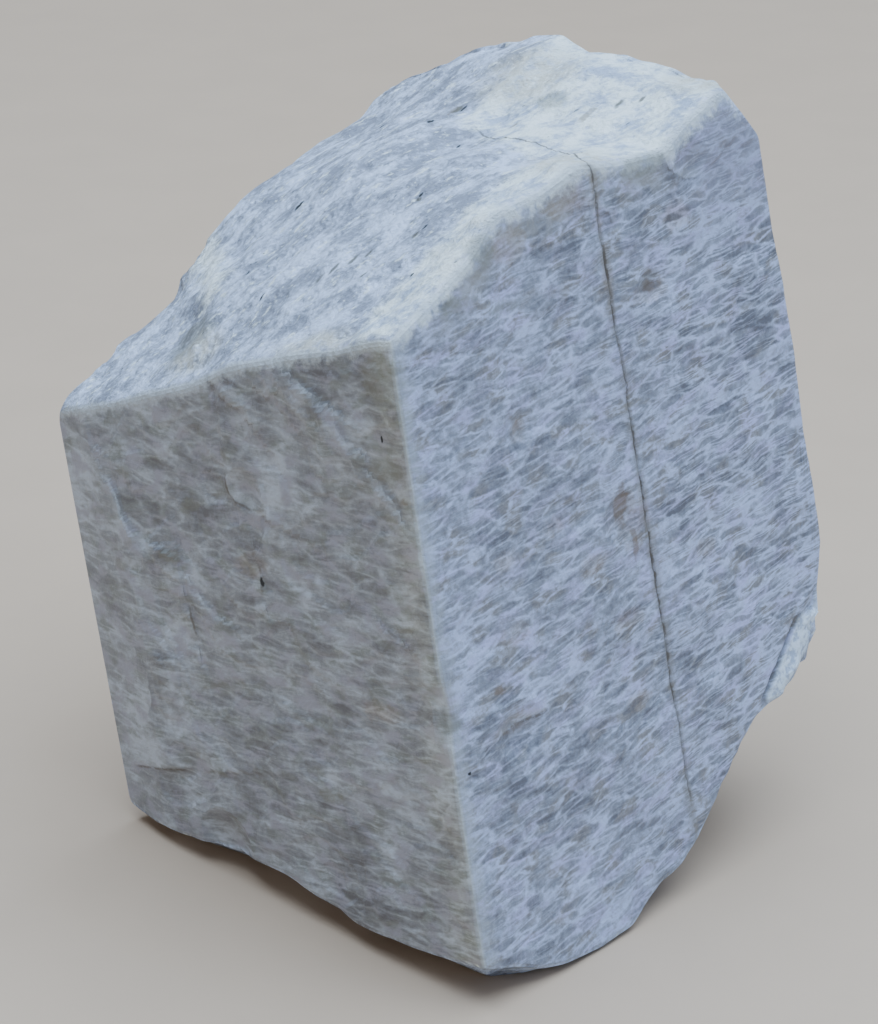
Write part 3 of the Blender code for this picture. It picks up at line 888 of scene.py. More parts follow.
def blend(tree, amount, first, second, way="MIX"):
    """Two colours mixed by an amount."""
    node = add(tree, "ShaderNodeMix", data_type="RGBA", blend_type=way)
    feed(tree, node.inputs["Factor"], amount)
    feed(tree, node.inputs[6], first)
    feed(tree, node.inputs[7], second)
    return node.outputs[2]


def painted(tree, colour, *coats):
    """A colour with coats laid over it in turn: how much of each, its colour, and how it mixes."""
    for amount, paint, *way in coats:
        colour = blend(tree, amount, colour, paint, *way)
    return colour


def cloud(tree, place, wave, detail=2.0, roughness=0.5):
    """Noise whose lumps are about one wave across."""
    node = add(tree, "ShaderNodeTexNoise")
    feed(tree, node.inputs["Vector"], place)
    feed(tree, node.inputs["Scale"], 1.0 / wave)
    feed(tree, node.inputs["Detail"], detail)
    feed(tree, node.inputs["Roughness"], roughness)
    return node.outputs["Fac"]


def mask_of(tree, name):
    """A zone stored on the stone's vertices."""
    return add(tree, "ShaderNodeAttribute", attribute_name=name).outputs["Fac"]


# Finish of the stone. Places and sizes are millimetres along a, b and h.

HOST_DARK = (0.136, 0.145, 0.179, 1.0)
HOST_MID = (0.274, 0.310, 0.392, 1.0)
HOST_LAVENDER = (0.298, 0.319, 0.434, 1.0)
HOST_TAN = (0.265, 0.262, 0.268, 1.0)
HOST_GREEN = (0.238, 0.264, 0.264, 1.0)
ALBITE_WHITE = (0.481, 0.575, 0.821, 1.0)
ALBITE_LAVENDER = (0.481, 0.519, 0.830, 1.0)
FRESH_BREAK = (0.90, 1.0, 1.0, 1.0)
FRESH_GREY = (0.40, 0.50, 0.66, 1.0)
TOP_GREY = (0.250, 0.283, 0.363, 1.0)
TOP_WHITE = (0.61, 0.73, 0.95, 1.0)
# Pale of the worn edges, and the painted highlight on the lips of lit ledges
WORN_EDGE_AND_LIP_HIGHLIGHT = (0.434, 0.500, 0.585, 1.0)
RIM_PALE = (0.491, 0.547, 0.585, 1.0)
FLAKE_WHITE = (0.72, 0.86, 1.0, 1.0)
GLINT_WHITE = (0.88, 0.98, 1.0, 1.0)
CREAM = (0.56, 0.56, 0.50, 1.0)
EDGE_OLIVE = (1.18, 1.15, 1.03, 1.0)
CREVICE_OLIVE = (0.110, 0.105, 0.080, 1.0)
RUSTY_STAIN = (0.185, 0.135, 0.090, 1.0)
BROWN_WASH = (1.02, 0.90, 0.78, 1.0)
RIM_STAIN = (0.300, 0.300, 0.290, 1.0)
# Olive of the stains, and the painted shade on the shelf's riser
OLIVE_STAIN_AND_RISER_SHADE = (0.189, 0.193, 0.156, 1.0)
# Dark of the hairline crack and the flake's border, and the painted shadow line on the lips of shaded ledges
CRACK_DIRT_AND_LIP_SHADOW = (0.113, 0.099, 0.083, 1.0)
CRACK_FLANK = (0.217, 0.203, 0.179, 1.0)
# Left-face copies of the host colours, greyer and less blue: painted shade, standing in for the dimmer, warmer light
# on the left face
LEFT_DARK = (0.145, 0.149, 0.170, 1.0)
LEFT_MID = (0.274, 0.298, 0.335, 1.0)
LEFT_LAVENDER = (0.332, 0.343, 0.421, 1.0)
LEFT_WHITE = (0.467, 0.530, 0.625, 1.0)
DARK_GRAIN = (0.018, 0.022, 0.026, 1.0)

# Streaks: length, thickness, slope, slow bends and small ripples; those on the left face are coarser
CELL_LENGTH_A = 5.8
CELL_LENGTH_B = 4.8
CELL_THICKNESS = 1.18
COARSER_ON_LEFT = 0.10
COARSER_UP_LEFT = 0.0040
STREAK_SLOPE_A = 0.04
STREAK_SLOPE_B = 0.10
BEND_WAVE = 7.0
BEND_RISE = 1.5
RIPPLE_WAVE = 1.2
RIPPLE_ALONG = 1.2
RIPPLE_RISE = 0.3

# How much each influence lightens the cleavage faces, and how much more on one of them
TONE_MIDDLE = 0.47
HAZE_TONE = 0.38
MOTTLE_TONE = 0.22
MOTTLE_MORE_LEFT = 0.35
GRIT_TONE = 0.70
LOW_LEFT_TONE = 0.06
RIGHT_TONE = 0.025
PALE_PATCH_TONE = 0.16
PALE_PATCH_MORE_LEFT = 0.12
DARK_PATCH_TONE = -0.24
FAR_BORDER_TONE = 0.08
VEIN_TONE = 0.27
VEIN_MORE_RIGHT = 0.08
VEIN_MORE_FAR = 0.10
CONTRAST_MORE_RIGHT = 0.22

# Heights of the finest relief, in metres
CLEAVAGE_UNEVEN = 0.00016
CLEAVAGE_GRIT = 0.00012
SPLINTER_HEIGHT = 0.0009
BREAK_GRIT = 0.00022

# Sizes of the clouds that break up borders and the top
RAGGED_WAVE = 1.7
FINE_WAVE = 0.8
SPARKLE_WAVE = 0.55
SPLINTER_SIZE = (1.0, 2.6, 1.8)
GLINT_SIZE = (1.0, 2.4, 1.4)
SPECK_SIZE = (0.6, 1.4, 1.0)
SPOT_WOBBLE = (0.9, 1.6, 0.9)
CRACK_RAGGED = 1.3
TOP_CRACK_END = 31.0

# Dark mineral grains: centre and half size along a, b and h
DARK_GRAINS = (
    ((46.9, 30.5, 90.1), (0.55, 1.1, 3.0)),
    ((37.3, 47.8, 97.3), (0.60, 0.7, 3.0)),
    ((50.9, 51.1, 95.5), (0.30, 1.2, 3.0)),
    ((27.9, 43.2, 95.9), (0.22, 0.5, 3.0)),
    ((20.9, 28.4, 92.8), (0.25, 0.6, 3.0)),
    ((13.5, 21.2, 91.0), (0.30, 0.8, 3.0)),
    ((43.6, 16.8, 84.6), (0.22, 0.6, 3.0)),
    ((34.3, 10.8, 82.5), (0.22, 0.7, 3.0)),
    ((8.7, 13.3, 86.4), (0.22, 0.5, 3.0)),
    ((57.6, 7.4, 73.3), (0.22, 0.5, 3.0)),
    ((30.4, 0.0, 48.0), (0.30, 2.0, 0.8)),
    ((4.2, 0.0, 69.1), (0.22, 2.0, 0.6)),
    ((0.0, 2.6, 25.7), (2.0, 0.32, 0.32)),
    ((35.2, 52.3, 98.6), (0.30, 0.9, 3.0)),
)

# Thin olive-brown crevices in the top: centre and half size along a, b and h
CREVICES = (
    ((25.0, 12.4, 86.0), (0.70, 1.3, 3.0)),
    ((23.6, 14.2, 86.0), (0.55, 1.6, 3.0)),
    ((22.1, 16.2, 87.0), (0.45, 1.5, 3.0)),
    ((20.8, 17.8, 87.0), (0.35, 1.2, 3.0)),
    ((14.0, 20.0, 90.0), (0.60, 0.9, 4.0)),
    ((17.0, 13.0, 86.0), (0.50, 1.0, 4.0)),
    ((20.6, 27.6, 92.0), (0.60, 0.6, 4.0)),
    ((12.6, 58.6, 98.5), (0.50, 1.3, 4.0)),
    ((10.4, 60.8, 98.5), (0.40, 1.0, 4.0)),
    ((36.0, 52.0, 98.6), (0.80, 1.4, 3.0)),
)

# Rusty spots: centre and half size along a, b and h
RUSTY_SPOTS = (
    ((0.0, 46.8, 76.6), (2.0, 2.4, 1.1)),
    ((0.0, 36.0, 50.0), (2.0, 1.5, 3.6)),
    ((0.0, 37.4, 44.5), (2.0, 0.8, 2.4)),
    ((0.0, 11.6, 28.4), (2.0, 2.8, 0.8)),
    ((0.0, 19.4, 65.2), (2.0, 0.9, 1.2)),
    ((0.0, 9.7, 34.0), (2.0, 1.3, 0.8)),
    ((2.0, 0.0, 61.2), (0.9, 3.0, 0.6)),
    ((36.4, 51.4, 98.0), (0.7, 1.6, 4.0)),
    ((15.0, 55.0, 97.0), (0.5, 2.6, 4.0)),
    ((24.0, 50.0, 98.0), (0.6, 1.2, 4.0)),
)


def place_in_block(tree, axes, corner):
    """Object coordinates turned into millimetres along a, b and h, which are a left-handed set."""
    turn = Matrix([axis[:] for axis in axes])
    mirror = Matrix.Diagonal((-1.0, 1.0, 1.0))
    seen = add(tree, "ShaderNodeTexCoord").outputs["Object"]
    node = add(tree, "ShaderNodeMapping")
    node.inputs["Rotation"].default_value = (turn @ mirror).to_euler()
    node.inputs["Scale"].default_value = (-1.0 / MM, 1.0 / MM, 1.0 / MM)
    node.inputs["Location"].default_value = -(turn @ corner) / MM
    feed(tree, node.inputs["Vector"], seen)
    return node.outputs["Vector"]


def new_group(name, inputs, outputs):
    """An empty node group with named inputs and outputs."""
    group = bpy.data.node_groups.new(name, "ShaderNodeTree")
    for socket_name, kind, value in inputs:
        socket = group.interface.new_socket(socket_name, in_out="INPUT", socket_type=kind)
        if value is not None:
            socket.default_value = value
    for socket_name, kind in outputs:
        group.interface.new_socket(socket_name, in_out="OUTPUT", socket_type=kind)
    return group, add(group, "NodeGroupInput"), add(group, "NodeGroupOutput")


def place_group(tree, group, **values):
    """A node group in a material, with its inputs fed by name."""
    node = add(tree, "ShaderNodeGroup", node_tree=group)
    for name, value in values.items():
        feed(tree, node.inputs[name.replace("_", " ").capitalize()], value)
    return node


def streak_group():
    """Albite streaks in the grey host: soft lens-shaped cells of different tones with pale veins between them."""
    group, given, out = new_group(
        "albite streaks",
        (("Place", "NodeSocketVector", None), ("Cell length a", "NodeSocketFloat", 3.0),
         ("Cell length b", "NodeSocketFloat", 4.0), ("Thickness", "NodeSocketFloat", 1.05),
         ("Vein", "NodeSocketFloat", 0.17)),
        (("Tone", "NodeSocketFloat"), ("Vein", "NodeSocketFloat")))
    split = add(group, "ShaderNodeSeparateXYZ")
    feed(group, split.inputs[0], given.outputs["Place"])
    bend = centred(group, cloud(group, given.outputs["Place"], BEND_WAVE, 2.0))
    ripple = centred(group, cloud(group, given.outputs["Place"], RIPPLE_WAVE, 3.0, 0.65))
    side = weighted(group, split.outputs["X"], (ripple, RIPPLE_ALONG))
    back = weighted(group, split.outputs["Y"], (ripple, RIPPLE_ALONG))
    up = weighted(
        group, split.outputs["Z"], (split.outputs["X"], -STREAK_SLOPE_A), (split.outputs["Y"], -STREAK_SLOPE_B),
        (bend, BEND_RISE), (ripple, RIPPLE_RISE))

    def squeezed(length, thickness):
        """The place with streaks stretched along a and b, longer and thicker by two factors."""
        joined = add(group, "ShaderNodeCombineXYZ")
        for socket, value, size, factor in (
                ("X", side, given.outputs["Cell length a"], length),
                ("Y", back, given.outputs["Cell length b"], length),
                ("Z", up, given.outputs["Thickness"], thickness)):
            unit = maths(group, "MULTIPLY", size, factor)
            feed(group, joined.inputs[socket], maths(group, "DIVIDE", value, unit))
        return joined.outputs[0]

    cells = add(group, "ShaderNodeTexVoronoi", feature="F1")
    feed(group, cells.inputs["Vector"], squeezed(1.0, 1.0))
    cells.inputs["Scale"].default_value = 1.0
    borders = add(group, "ShaderNodeTexVoronoi", feature="DISTANCE_TO_EDGE")
    feed(group, borders.inputs["Vector"], squeezed(1.0, 1.0))
    borders.inputs["Scale"].default_value = 1.0
    tone = add(group, "ShaderNodeSeparateColor")
    feed(group, tone.inputs[0], cells.outputs["Color"])
    patchy = cloud(group, squeezed(0.9, 0.85), 1.0, 5.0, 0.68)
    here = soft_step(group, cloud(group, squeezed(1.1, 1.8), 1.0, 1.0), 0.30, 0.56, 0.15, 1.0)
    vein = product(group, soft_step(group, borders.outputs["Distance"], given.outputs["Vein"], 0.02), here)
    ribbon = centred(group, cloud(group, squeezed(2.6, 0.8), 1.0, 1.0))
    ribbon = soft_step(group, maths(group, "ABSOLUTE", ribbon), 0.045, 0.005)
    far = soft_step(group, split.outputs["Y"], 20.0, 50.0, 0.45, 0.9)
    vein = maths(group, "MAXIMUM", vein, product(group, ribbon, far))
    level = weighted(group, 0.38, (centred(group, tone.outputs[0]), 0.20), (centred(group, patchy), 1.35))
    lens = soft_step(group, tone.outputs[1], 0.80, 0.95, 0.0, 0.14)
    level = maths(group, "SUBTRACT", level, product(group, lens, soft_step(
        group, borders.outputs["Distance"], 0.05, 0.25)))
    feed(group, out.inputs["Tone"], level)
    feed(group, out.inputs["Vein"], vein)
    return group


def spot_group():
    """One spot with a ragged rim: an ellipsoid in the stone."""
    group, given, out = new_group(
        "spot", (("Place", "NodeSocketVector", None), ("Centre", "NodeSocketVector", None),
                 ("Half size", "NodeSocketVector", None), ("Softness", "NodeSocketFloat", 0.3)),
        (("Mask", "NodeSocketFloat"),))
    offset = vector_maths(group, "SUBTRACT", given.outputs["Place"], given.outputs["Centre"])
    shrunk = vector_maths(group, "DIVIDE", offset, given.outputs["Half size"])
    distance = vector_maths(group, "LENGTH", shrunk, (0.0, 0.0, 0.0))
    inner = maths(group, "SUBTRACT", 1.0, given.outputs["Softness"])
    feed(group, out.inputs["Mask"], soft_step(group, distance, 1.0, inner))
    return group


def crack_group():
    """A hairline: how far the surface is from its path gives a ragged line that thickens and fades, and its flank."""
    group, given, out = new_group(
        "hairline", (("Across", "NodeSocketFloat", 0.0), ("Path", "NodeSocketFloat", 0.0),
                     ("Half width", "NodeSocketFloat", 0.2), ("Ragged", "NodeSocketFloat", 0.5),
                     ("Slow", "NodeSocketFloat", 0.5)),
        (("Line", "NodeSocketFloat"), ("Flank", "NodeSocketFloat")))
    ragged = centred(group, given.outputs["Ragged"])
    off = maths(group, "SUBTRACT", given.outputs["Across"], given.outputs["Path"])
    off = maths(group, "ABSOLUTE", weighted(group, off, (ragged, CRACK_RAGGED)))
    thick = soft_step(group, given.outputs["Slow"], 0.3, 0.7, 0.5, 1.9)
    reach = maths(group, "MULTIPLY", given.outputs["Half width"], thick)
    faint = soft_step(group, given.outputs["Slow"], 0.30, 0.60, 0.45, 0.95)
    line = soft_step(group, off, reach, maths(group, "MULTIPLY", reach, 0.2))
    feed(group, out.inputs["Line"], product(group, line, faint))
    feed(group, out.inputs["Flank"], soft_step(group, off, maths(group, "MULTIPLY", reach, 5.5), 0.0))
    return group


def path_curve(tree, along, points):
    """Where a crack lies across, for a distance along: a curve through its points."""
    table = np.array(points, dtype=float)
    low, high = table.min(axis=0), table.max(axis=0)
    span = high - low
    node = add(tree, "ShaderNodeFloatCurve")
    curve = node.mapping.curves[0]
    spots = (table - low) / span
    curve.points[0].location = spots[0]
    curve.points[1].location = spots[-1]
    for x, y in spots[1:-1]:
        curve.points.new(x, y)
    for point in curve.points:
        point.handle_type = "VECTOR"
    node.mapping.update()
    feed(tree, node.inputs["Value"], maths(
        tree, "DIVIDE", maths(tree, "SUBTRACT", along, float(low[0])), float(span[0])))
    return maths(tree, "MULTIPLY_ADD", node.outputs["Value"], float(span[1]), float(low[1]))


def ledge_marks(tree, at, kind):
    """Masks for painted light and shade along the lips of one kind of ledge: the lip itself, the painted shade in the
    hollow at its foot, and the proud strip behind it, painted paler.
    """
    off = weighted(tree, mask_of(tree, kind + "_off"), (at.off_centre, 0.6))
    here = soft_step(tree, mask_of(tree, kind + "_near"), 0.15, 0.90)
    crest = product(tree, here, soft_step(tree, maths(tree, "ABSOLUTE", off), 0.32, 0.05))
    foot = product(tree, here, soft_step(tree, off, -1.8, -0.3), soft_step(tree, off, 0.15, -0.30))
    brow = product(tree, here, soft_step(tree, off, 2.2, 0.3), soft_step(tree, off, -0.15, 0.30))
    return crest, foot, brow


def ragged_zone(tree, at, name, unevenness, low, high, strength=1.0):
    """A stored zone with a ragged border, from 0 to its strength."""
    uneven = weighted(tree, mask_of(tree, name), (at.off_centre, unevenness))
    return soft_step(tree, uneven, low, high, 0.0, strength)


def turned_to_splinters(tree, at):
    """The place turned to the run of the splinters, at a slant to b."""
    turn = math.radians(SPLINTER_TURN_DEG)
    across = weighted(tree, 0.0, (at.a, math.cos(turn)), (at.b, math.sin(turn)))
    along = weighted(tree, 0.0, (at.b, math.cos(turn)), (at.a, -math.sin(turn)))
    turned = add(tree, "ShaderNodeCombineXYZ")
    for socket, value in zip(turned.inputs, (across, along, at.h)):
        feed(tree, socket, value)
    return turned.outputs[0]


def shared_values(tree, axes, corner):
    """Places, zones and clouds that every part of the finish reads."""
    at = SimpleNamespace(place=place_in_block(tree, axes, corner))
    split = add(tree, "ShaderNodeSeparateXYZ")
    feed(tree, split.inputs[0], at.place)
    at.a, at.b, at.h = split.outputs
    at.left = mask_of(tree, "left_face")
    at.right = mask_of(tree, "right_face")
    at.under = mask_of(tree, "underside")
    at.haze = mask_of(tree, "haze")
    at.mottle = mask_of(tree, "mottle")
    at.ragged = cloud(tree, at.place, RAGGED_WAVE, 4.0, 0.65)
    at.off_centre = centred(tree, at.ragged)
    at.grit = cloud(tree, at.place, FINE_WAVE, 3.0, 0.6)
    at.off_grit = centred(tree, at.grit)
    at.top = ragged_zone(tree, at, "top_break", 0.9, 0.22, 0.76)
    at.broken = highest(tree, at.top, at.under)
    at.turned = turned_to_splinters(tree, at)
    at.splinter = cloud(tree, vector_maths(tree, "DIVIDE", at.turned, SPLINTER_SIZE), 1.0, 5.0, 0.68)
    return at


def streak_level(tree, at):
    """How pale the cleavage faces are: streaks and veins, with slow haze, mottling, grit and patches over them."""
    left_side = maths(tree, "GREATER_THAN", at.a, at.b)
    coarse = product(tree, left_side, weighted(tree, COARSER_ON_LEFT, (at.h, COARSER_UP_LEFT)))
    streaks = place_group(
        tree, streak_group(), Place=at.place, Cell_length_a=CELL_LENGTH_A, Cell_length_b=CELL_LENGTH_B,
        Thickness=maths(tree, "ADD", coarse, CELL_THICKNESS))
    mottling = weighted(tree, MOTTLE_TONE, (at.left, MOTTLE_MORE_LEFT))
    patch_paleness = weighted(tree, PALE_PATCH_TONE, (at.left, PALE_PATCH_MORE_LEFT))
    paler_down = product(tree, at.left, soft_step(tree, at.h, 60.0, 10.0))
    far_border = product(tree, at.left, soft_step(tree, at.a, 57.0, 63.0), soft_step(tree, at.h, 62.0, 50.0))
    far_veins = product(tree, at.right, soft_step(tree, at.b, 38.0, 58.0))
    veins = weighted(tree, VEIN_TONE, (at.right, VEIN_MORE_RIGHT), (far_veins, VEIN_MORE_FAR))
    level = weighted(
        tree, streaks.outputs["Tone"],
        (centred(tree, at.haze), HAZE_TONE),
        (centred(tree, at.mottle), mottling),
        (at.off_grit, GRIT_TONE),
        (paler_down, LOW_LEFT_TONE),
        (at.right, RIGHT_TONE),
        (mask_of(tree, "pale_patch"), patch_paleness),
        (far_border, FAR_BORDER_TONE),
        (mask_of(tree, "dark_patch"), DARK_PATCH_TONE),
        (streaks.outputs["Vein"], veins))
    contrast = weighted(tree, 1.0, (at.right, CONTRAST_MORE_RIGHT))
    return weighted(tree, 0.5, (maths(tree, "SUBTRACT", level, TONE_MIDDLE), contrast))


def cleavage_colour(tree, at):
    """The streaked front faces, with their lavender, olive and brown tints; on the left face the greyer, less blue
    copies of the colours are painted shade.
    """
    level = streak_level(tree, at)
    lavender = soft_step(tree, mask_of(tree, "lavender"), 0.45, 0.75, 0.0, 0.85)
    olive = soft_step(tree, mask_of(tree, "olive"), 0.50, 0.75, 0.0, 0.85)
    margin = product(
        tree, at.left, soft_step(tree, at.a, 57.0, 66.0), soft_step(tree, at.mottle, 0.3, 0.6, 0.3, 0.8))
    deep = blend(tree, margin, blend(tree, at.left, HOST_DARK, LEFT_DARK), LEFT_MID)
    middle = painted(
        tree, blend(tree, at.left, HOST_MID, LEFT_MID),
        (lavender, blend(tree, at.left, HOST_LAVENDER, LEFT_LAVENDER)),
        (olive, blend(tree, at.left, HOST_TAN, HOST_GREEN)))
    light = blend(
        tree, lavender, blend(tree, at.left, ALBITE_WHITE, LEFT_WHITE),
        blend(tree, at.left, ALBITE_LAVENDER, LEFT_LAVENDER))
    stain = product(tree, mask_of(tree, "rim_stain"), soft_step(
        tree, maths(tree, "ADD", at.mottle, at.off_centre), 0.25, 0.70, 0.15, 0.75))
    far_corner = product(
        tree, at.right, soft_step(tree, at.b, 50.0, 62.0), soft_step(tree, at.h, 76.0, 90.0, 0.0, 0.5))
    return painted(
        tree, blend(tree, maths(tree, "MULTIPLY", level, 2.0), deep, middle),
        (maths(tree, "MULTIPLY_ADD", level, 2.0, -1.0), light),
        (stain, RIM_STAIN),
        (far_corner, HOST_LAVENDER),
        (ragged_zone(tree, at, "brown", 1.8, 0.30, 1.05, 0.75), BROWN_WASH, "MULTIPLY"))


def broken_colour(tree, at):
    """The splintery broken top and underside, and how far their pale rim spills over the right face."""
    white = soft_step(tree, weighted(
        tree, 0.0, (at.off_centre, 0.60), (at.off_grit, 0.40), (at.splinter, 0.60), (mask_of(tree, "broad"), 0.50)),
        0.36, 0.76)
    ragged_pale = soft_step(tree, weighted(
        tree, mask_of(tree, "pale_break"), (at.splinter, 0.4), (at.off_centre, 0.8)), 0.42, 0.95)
    freshest = soft_step(tree, weighted(
        tree, 0.0, (at.off_centre, 0.5), (at.off_grit, 0.5), (at.splinter, 0.6), (at.mottle, 0.60)), 0.36, 0.76)
    cream = product(tree, mask_of(tree, "cream"), soft_step(tree, at.ragged, 0.35, 0.60, 0.25, 0.8))
    glints = cloud(tree, vector_maths(tree, "DIVIDE", at.turned, GLINT_SIZE), 1.0, 3.0, 0.6)
    sparkles = cloud(tree, at.place, SPARKLE_WAVE, 1.0)
    shining = highest(
        tree, soft_step(tree, glints, 0.58, 0.70, 0.0, 0.7), soft_step(tree, sparkles, 0.66, 0.78, 0.0, 0.55))
    colour = painted(
        tree, blend(tree, white, TOP_GREY, TOP_WHITE),
        (product(tree, ragged_pale, 0.9), blend(tree, freshest, FRESH_GREY, FRESH_BREAK)),
        (cream, CREAM),
        (shining, GLINT_WHITE))
    return colour, product(tree, at.right, ragged_pale, 0.8)


def wear_stains_and_painted_shade(tree, at, colour):
    """Worn pale edges, the fresh white flake, olive and rusty stains with painted shade on the shelf's riser, and the
    ledges' painted light and shade.
    """
    edge_wear = ragged_zone(tree, at, "front_edge", 1.6, 0.25, 1.05)
    rim_wear = ragged_zone(tree, at, "top_rim", 1.6, 0.35, 1.0)
    flake_white = soft_step(tree, maths(tree, "ADD", at.ragged, at.off_grit), 0.32, 0.58)
    beside_edge = product(
        tree, at.left, soft_step(tree, at.a, 8.0, 1.5), soft_step(tree, at.haze, 0.25, 0.60, 0.4, 1.0))
    lip, foot, brow = ledge_marks(tree, at, "shaded")
    lit_lip, lit_foot, lit_brow = ledge_marks(tree, at, "lit")
    return painted(
        tree, colour,
        (product(tree, edge_wear, at.right, 0.6), WORN_EDGE_AND_LIP_HIGHLIGHT),
        (product(tree, rim_wear, 0.75), RIM_PALE),
        (mask_of(tree, "flake"), blend(tree, flake_white, FRESH_GREY, FLAKE_WHITE)),
        (product(tree, mask_of(tree, "flake_border"), 0.65), CRACK_DIRT_AND_LIP_SHADOW),
        (beside_edge, EDGE_OLIVE, "MULTIPLY"),
        (ragged_zone(tree, at, "rust", 1.6, 0.45, 0.95, 0.6), RUSTY_STAIN),
        # Painted light and shade along the ledges: a paler proud strip, painted shade at the foot and a painted
        # shadow line on the lip of shaded ones; painted shade at the foot, a paler proud strip and a painted
        # highlight on the lip of lit ones
        (product(tree, brow, 0.18), RIM_PALE),
        (product(tree, foot, 0.40), LEFT_DARK),
        (product(tree, lip, soft_step(tree, at.ragged, 0.36, 0.56, 0.15, 0.75)), CRACK_DIRT_AND_LIP_SHADOW),
        (product(tree, lit_foot, 0.45), LEFT_DARK),
        (product(tree, lit_brow, 0.30), LEFT_WHITE),
        (product(tree, lit_lip, soft_step(tree, at.ragged, 0.40, 0.60, 0.1, 0.8)), WORN_EDGE_AND_LIP_HIGHLIGHT),
        # Olive stains, and on the top the painted shade of the shelf's riser
        (ragged_zone(tree, at, "olive_patch", 1.4, 0.35, 0.95, 0.5), OLIVE_STAIN_AND_RISER_SHADE))


def grains_and_crevices(tree, at, colour):
    """Dark mineral grains, dark specks along the splinters, and the crevices in the top."""
    spot = spot_group()
    wobble = vector_maths(tree, "MULTIPLY", at.off_centre, SPOT_WOBBLE)
    slightly = vector_maths(tree, "ADD", at.place, wobble)

    def spots(table, softness):
        """The nearest of a table's spots."""
        return highest(tree, *(
            place_group(tree, spot, Place=slightly, Centre=centre, Half_size=size, Softness=softness).outputs[0]
            for centre, size in table))

    specks = cloud(tree, vector_maths(tree, "DIVIDE", at.turned, SPECK_SIZE), 1.0, 1.0)
    specks = product(tree, at.top, soft_step(tree, specks, 0.765, 0.80), 0.8)
    return painted(
        tree, colour,
        (highest(tree, spots(DARK_GRAINS, 0.45), specks), DARK_GRAIN),
        (product(tree, spots(CREVICES, 0.6), 0.85), CREVICE_OLIVE))


def crack_marks(tree, at, colour):
    """The hairline crack, down the right face and over the top."""
    path = add(tree, "ShaderNodeMix", data_type="FLOAT")
    feed(tree, path.inputs["Factor"], at.right)
    feed(tree, path.inputs[2], path_curve(tree, at.a, TOP_CRACK_LINE))
    feed(tree, path.inputs[3], path_curve(tree, at.h, CRACK_LINE))
    crack = place_group(
        tree, crack_group(), Across=at.b, Path=path.outputs[0], Ragged=at.ragged,
        Slow=highest(tree, at.mottle, product(tree, at.top, 0.52)),
        Half_width=maths(tree, "MULTIPLY_ADD", at.right, 0.04, 0.16))
    face_line = product(tree, at.right, soft_step(tree, at.h, CRACK_END_HEIGHT, CRACK_END_HEIGHT + 3.0))
    top_line = product(tree, at.top, soft_step(tree, at.a, TOP_CRACK_END, TOP_CRACK_END - 5.0))
    return painted(
        tree, colour,
        (product(tree, crack.outputs["Flank"], at.right, 0.65), CRACK_FLANK),
        (product(tree, crack.outputs["Line"], highest(tree, face_line, top_line)), CRACK_DIRT_AND_LIP_SHADOW))


def fine_relief(tree, at):
    """The normal of the finest relief, in metres: faint on the cleavage faces, splintery on the breaks."""
    height = add(tree, "ShaderNodeMix", data_type="FLOAT")
    feed(tree, height.inputs["Factor"], at.broken)
    feed(tree, height.inputs[2], weighted(tree, 0.0, (at.off_centre, CLEAVAGE_UNEVEN), (at.off_grit, CLEAVAGE_GRIT)))
    feed(tree, height.inputs[3], weighted(
        tree, 0.0, (centred(tree, at.splinter), SPLINTER_HEIGHT), (at.off_grit, BREAK_GRIT)))
    bump = add(tree, "ShaderNodeBump")
    bump.inputs["Distance"].default_value = 1.0
    bump.inputs["Strength"].default_value = 1.0
    feed(tree, bump.inputs["Height"], height.outputs[0])
    return bump.outputs["Normal"]


def stone_material(axes, corner):
    """The whole finish of the crystal: streaked cleavage faces, splintery top, grains, stains and cracks."""
    material = bpy.data.materials.new("streaked microcline")
    material.use_nodes = True
    tree = material.node_tree
    surface = tree.nodes["Principled BSDF"]
    at = shared_values(tree, axes, corner)
    broken, spilled = broken_colour(tree, at)
    colour = blend(tree, highest(tree, at.broken, spilled), cleavage_colour(tree, at), broken)
    for finish in (wear_stains_and_painted_shade, grains_and_crevices, crack_marks):
        colour = finish(tree, at, colour)
    feed(tree, surface.inputs["Base Color"], colour)
    gloss = soft_step(tree, at.grit, 0.3, 0.7, 0.42, 0.62)
    feed(tree, surface.inputs["Roughness"], weighted(tree, gloss, (at.broken, 0.12)))
    surface.inputs["Specular IOR Level"].default_value = 0.45
    feed(tree, surface.inputs["Normal"], fine_relief(tree, at))
    return material


# Floor, light and camera

FLOOR_REACH = 3.0
FLOOR_CLOUD = 0.02
FLOOR_GREY = (0.515, 0.390, 0.285, 1.0)
CAMERA_PLACE = (-0.0007, -0.3745, 0.2112)
CAMERA_DOWN_DEG = 24.0
FOCAL_LENGTH_PIXELS = 3000.0
IMAGE_HEIGHT = 1024.0
SENSOR = 36.0
LIGHTS_AIM = (0.0, 0.0, 0.05)
LIGHTS = (
    ("overhead", (0.10, 0.05, 1.30), 1.6, 49.5, (0.66, 0.84, 1.07)),
    ("cool side", (0.95, -0.65, 0.75), 0.9, 5.3, (0.38, 0.60, 1.0)),
    ("warm side", (-0.95, -0.75, 0.45), 0.9, 1.8, (1.0, 0.90, 0.78)),
)
SURROUND = (1.0, 0.95, 0.88, 1.0)
SURROUND_STRENGTH = 0.125


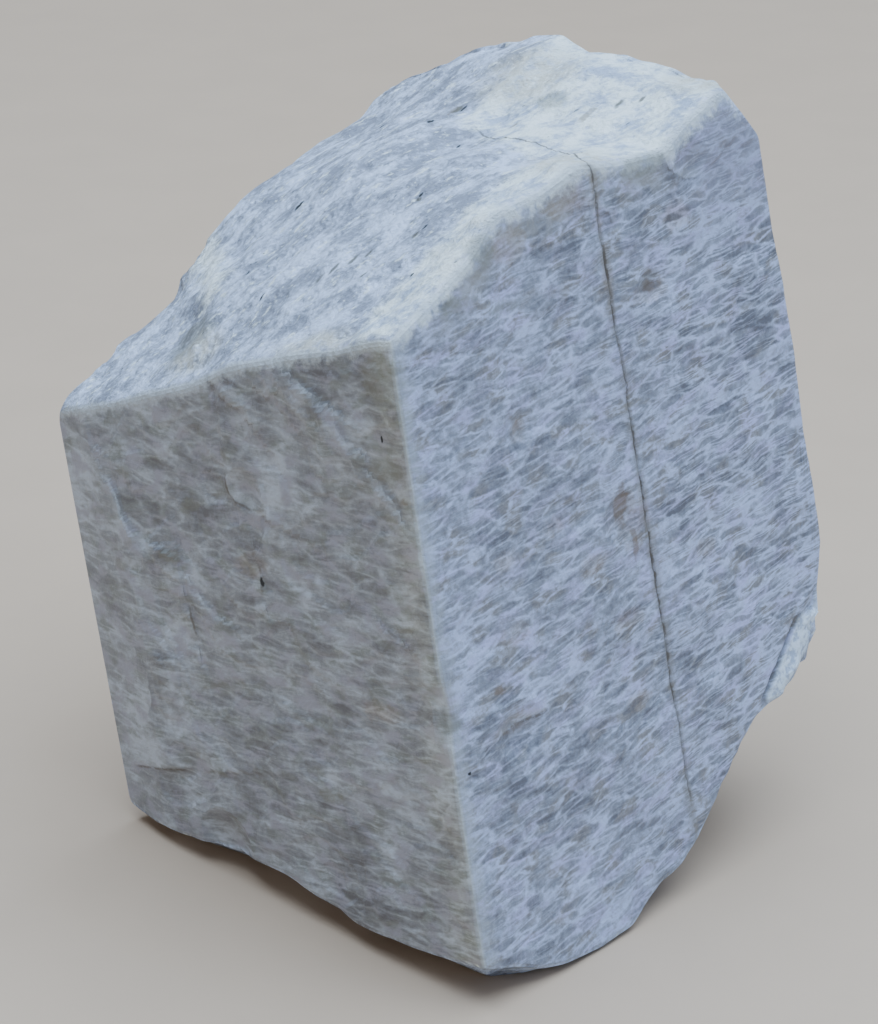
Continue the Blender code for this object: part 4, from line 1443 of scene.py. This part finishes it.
def lay_floor():
    """A plain pale floor."""
    bm = bmesh.new()
    bmesh.ops.create_grid(bm, x_segments=1, y_segments=1, size=FLOOR_REACH)
    mesh = bpy.data.meshes.new("floor")
    bm.to_mesh(mesh)
    bm.free()
    floor = bpy.data.objects.new("floor", mesh)
    bpy.context.scene.collection.objects.link(floor)
    material = bpy.data.materials.new("pale floor")
    material.use_nodes = True
    tree = material.node_tree
    surface = tree.nodes["Principled BSDF"]
    seen = add(tree, "ShaderNodeTexCoord").outputs["Object"]
    faint = cloud(tree, seen, FLOOR_CLOUD, 4.0, 0.6)
    shade = soft_step(tree, faint, 0.3, 0.7, 0.97, 1.0)
    feed(tree, surface.inputs["Base Color"], blend(tree, shade, (0.0, 0.0, 0.0, 1.0), FLOOR_GREY))
    surface.inputs["Roughness"].default_value = 0.6
    mesh.materials.append(material)


def soft_light(name, place, size, power, tint):
    """A square soft light aimed at the crystal."""
    data = bpy.data.lights.new(name, "AREA")
    data.size = size
    data.energy = power
    data.color = tint
    lamp = bpy.data.objects.new(name, data)
    lamp.location = place
    lamp.rotation_euler = (Vector(LIGHTS_AIM) - Vector(place)).to_track_quat("-Z", "Y").to_euler()
    bpy.context.scene.collection.objects.link(lamp)


def light_studio():
    """A wide soft light overhead, a cool one from the right, a weak warm one from the left, and a pale surround."""
    for light in LIGHTS:
        soft_light(*light)
    world = bpy.data.worlds.new("pale surround")
    world.use_nodes = True
    background = world.node_tree.nodes["Background"]
    background.inputs["Color"].default_value = SURROUND
    background.inputs["Strength"].default_value = SURROUND_STRENGTH
    bpy.context.scene.world = world


def set_camera():
    """The camera at the photograph's height, distance and angle."""
    data = bpy.data.cameras.new("camera")
    data.sensor_width = SENSOR
    data.lens = SENSOR * FOCAL_LENGTH_PIXELS / IMAGE_HEIGHT
    data.clip_start = 0.01
    camera = bpy.data.objects.new("camera", data)
    camera.location = CAMERA_PLACE
    camera.rotation_euler = (math.radians(90.0 - CAMERA_DOWN_DEG), 0.0, 0.0)
    bpy.context.scene.collection.objects.link(camera)
    bpy.context.scene.camera = camera


block_directions = block_axes()
stone, stone_shift = build_stone(block_directions)
front_corner = stone_shift + Vector((0.0, 0.0, FRONT_CORNER_LIFT * MM))
stone.data.materials.append(stone_material(block_directions, front_corner))
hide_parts(SOLID)
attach(stone, "root")
lay_floor()
light_studio()
set_camera()
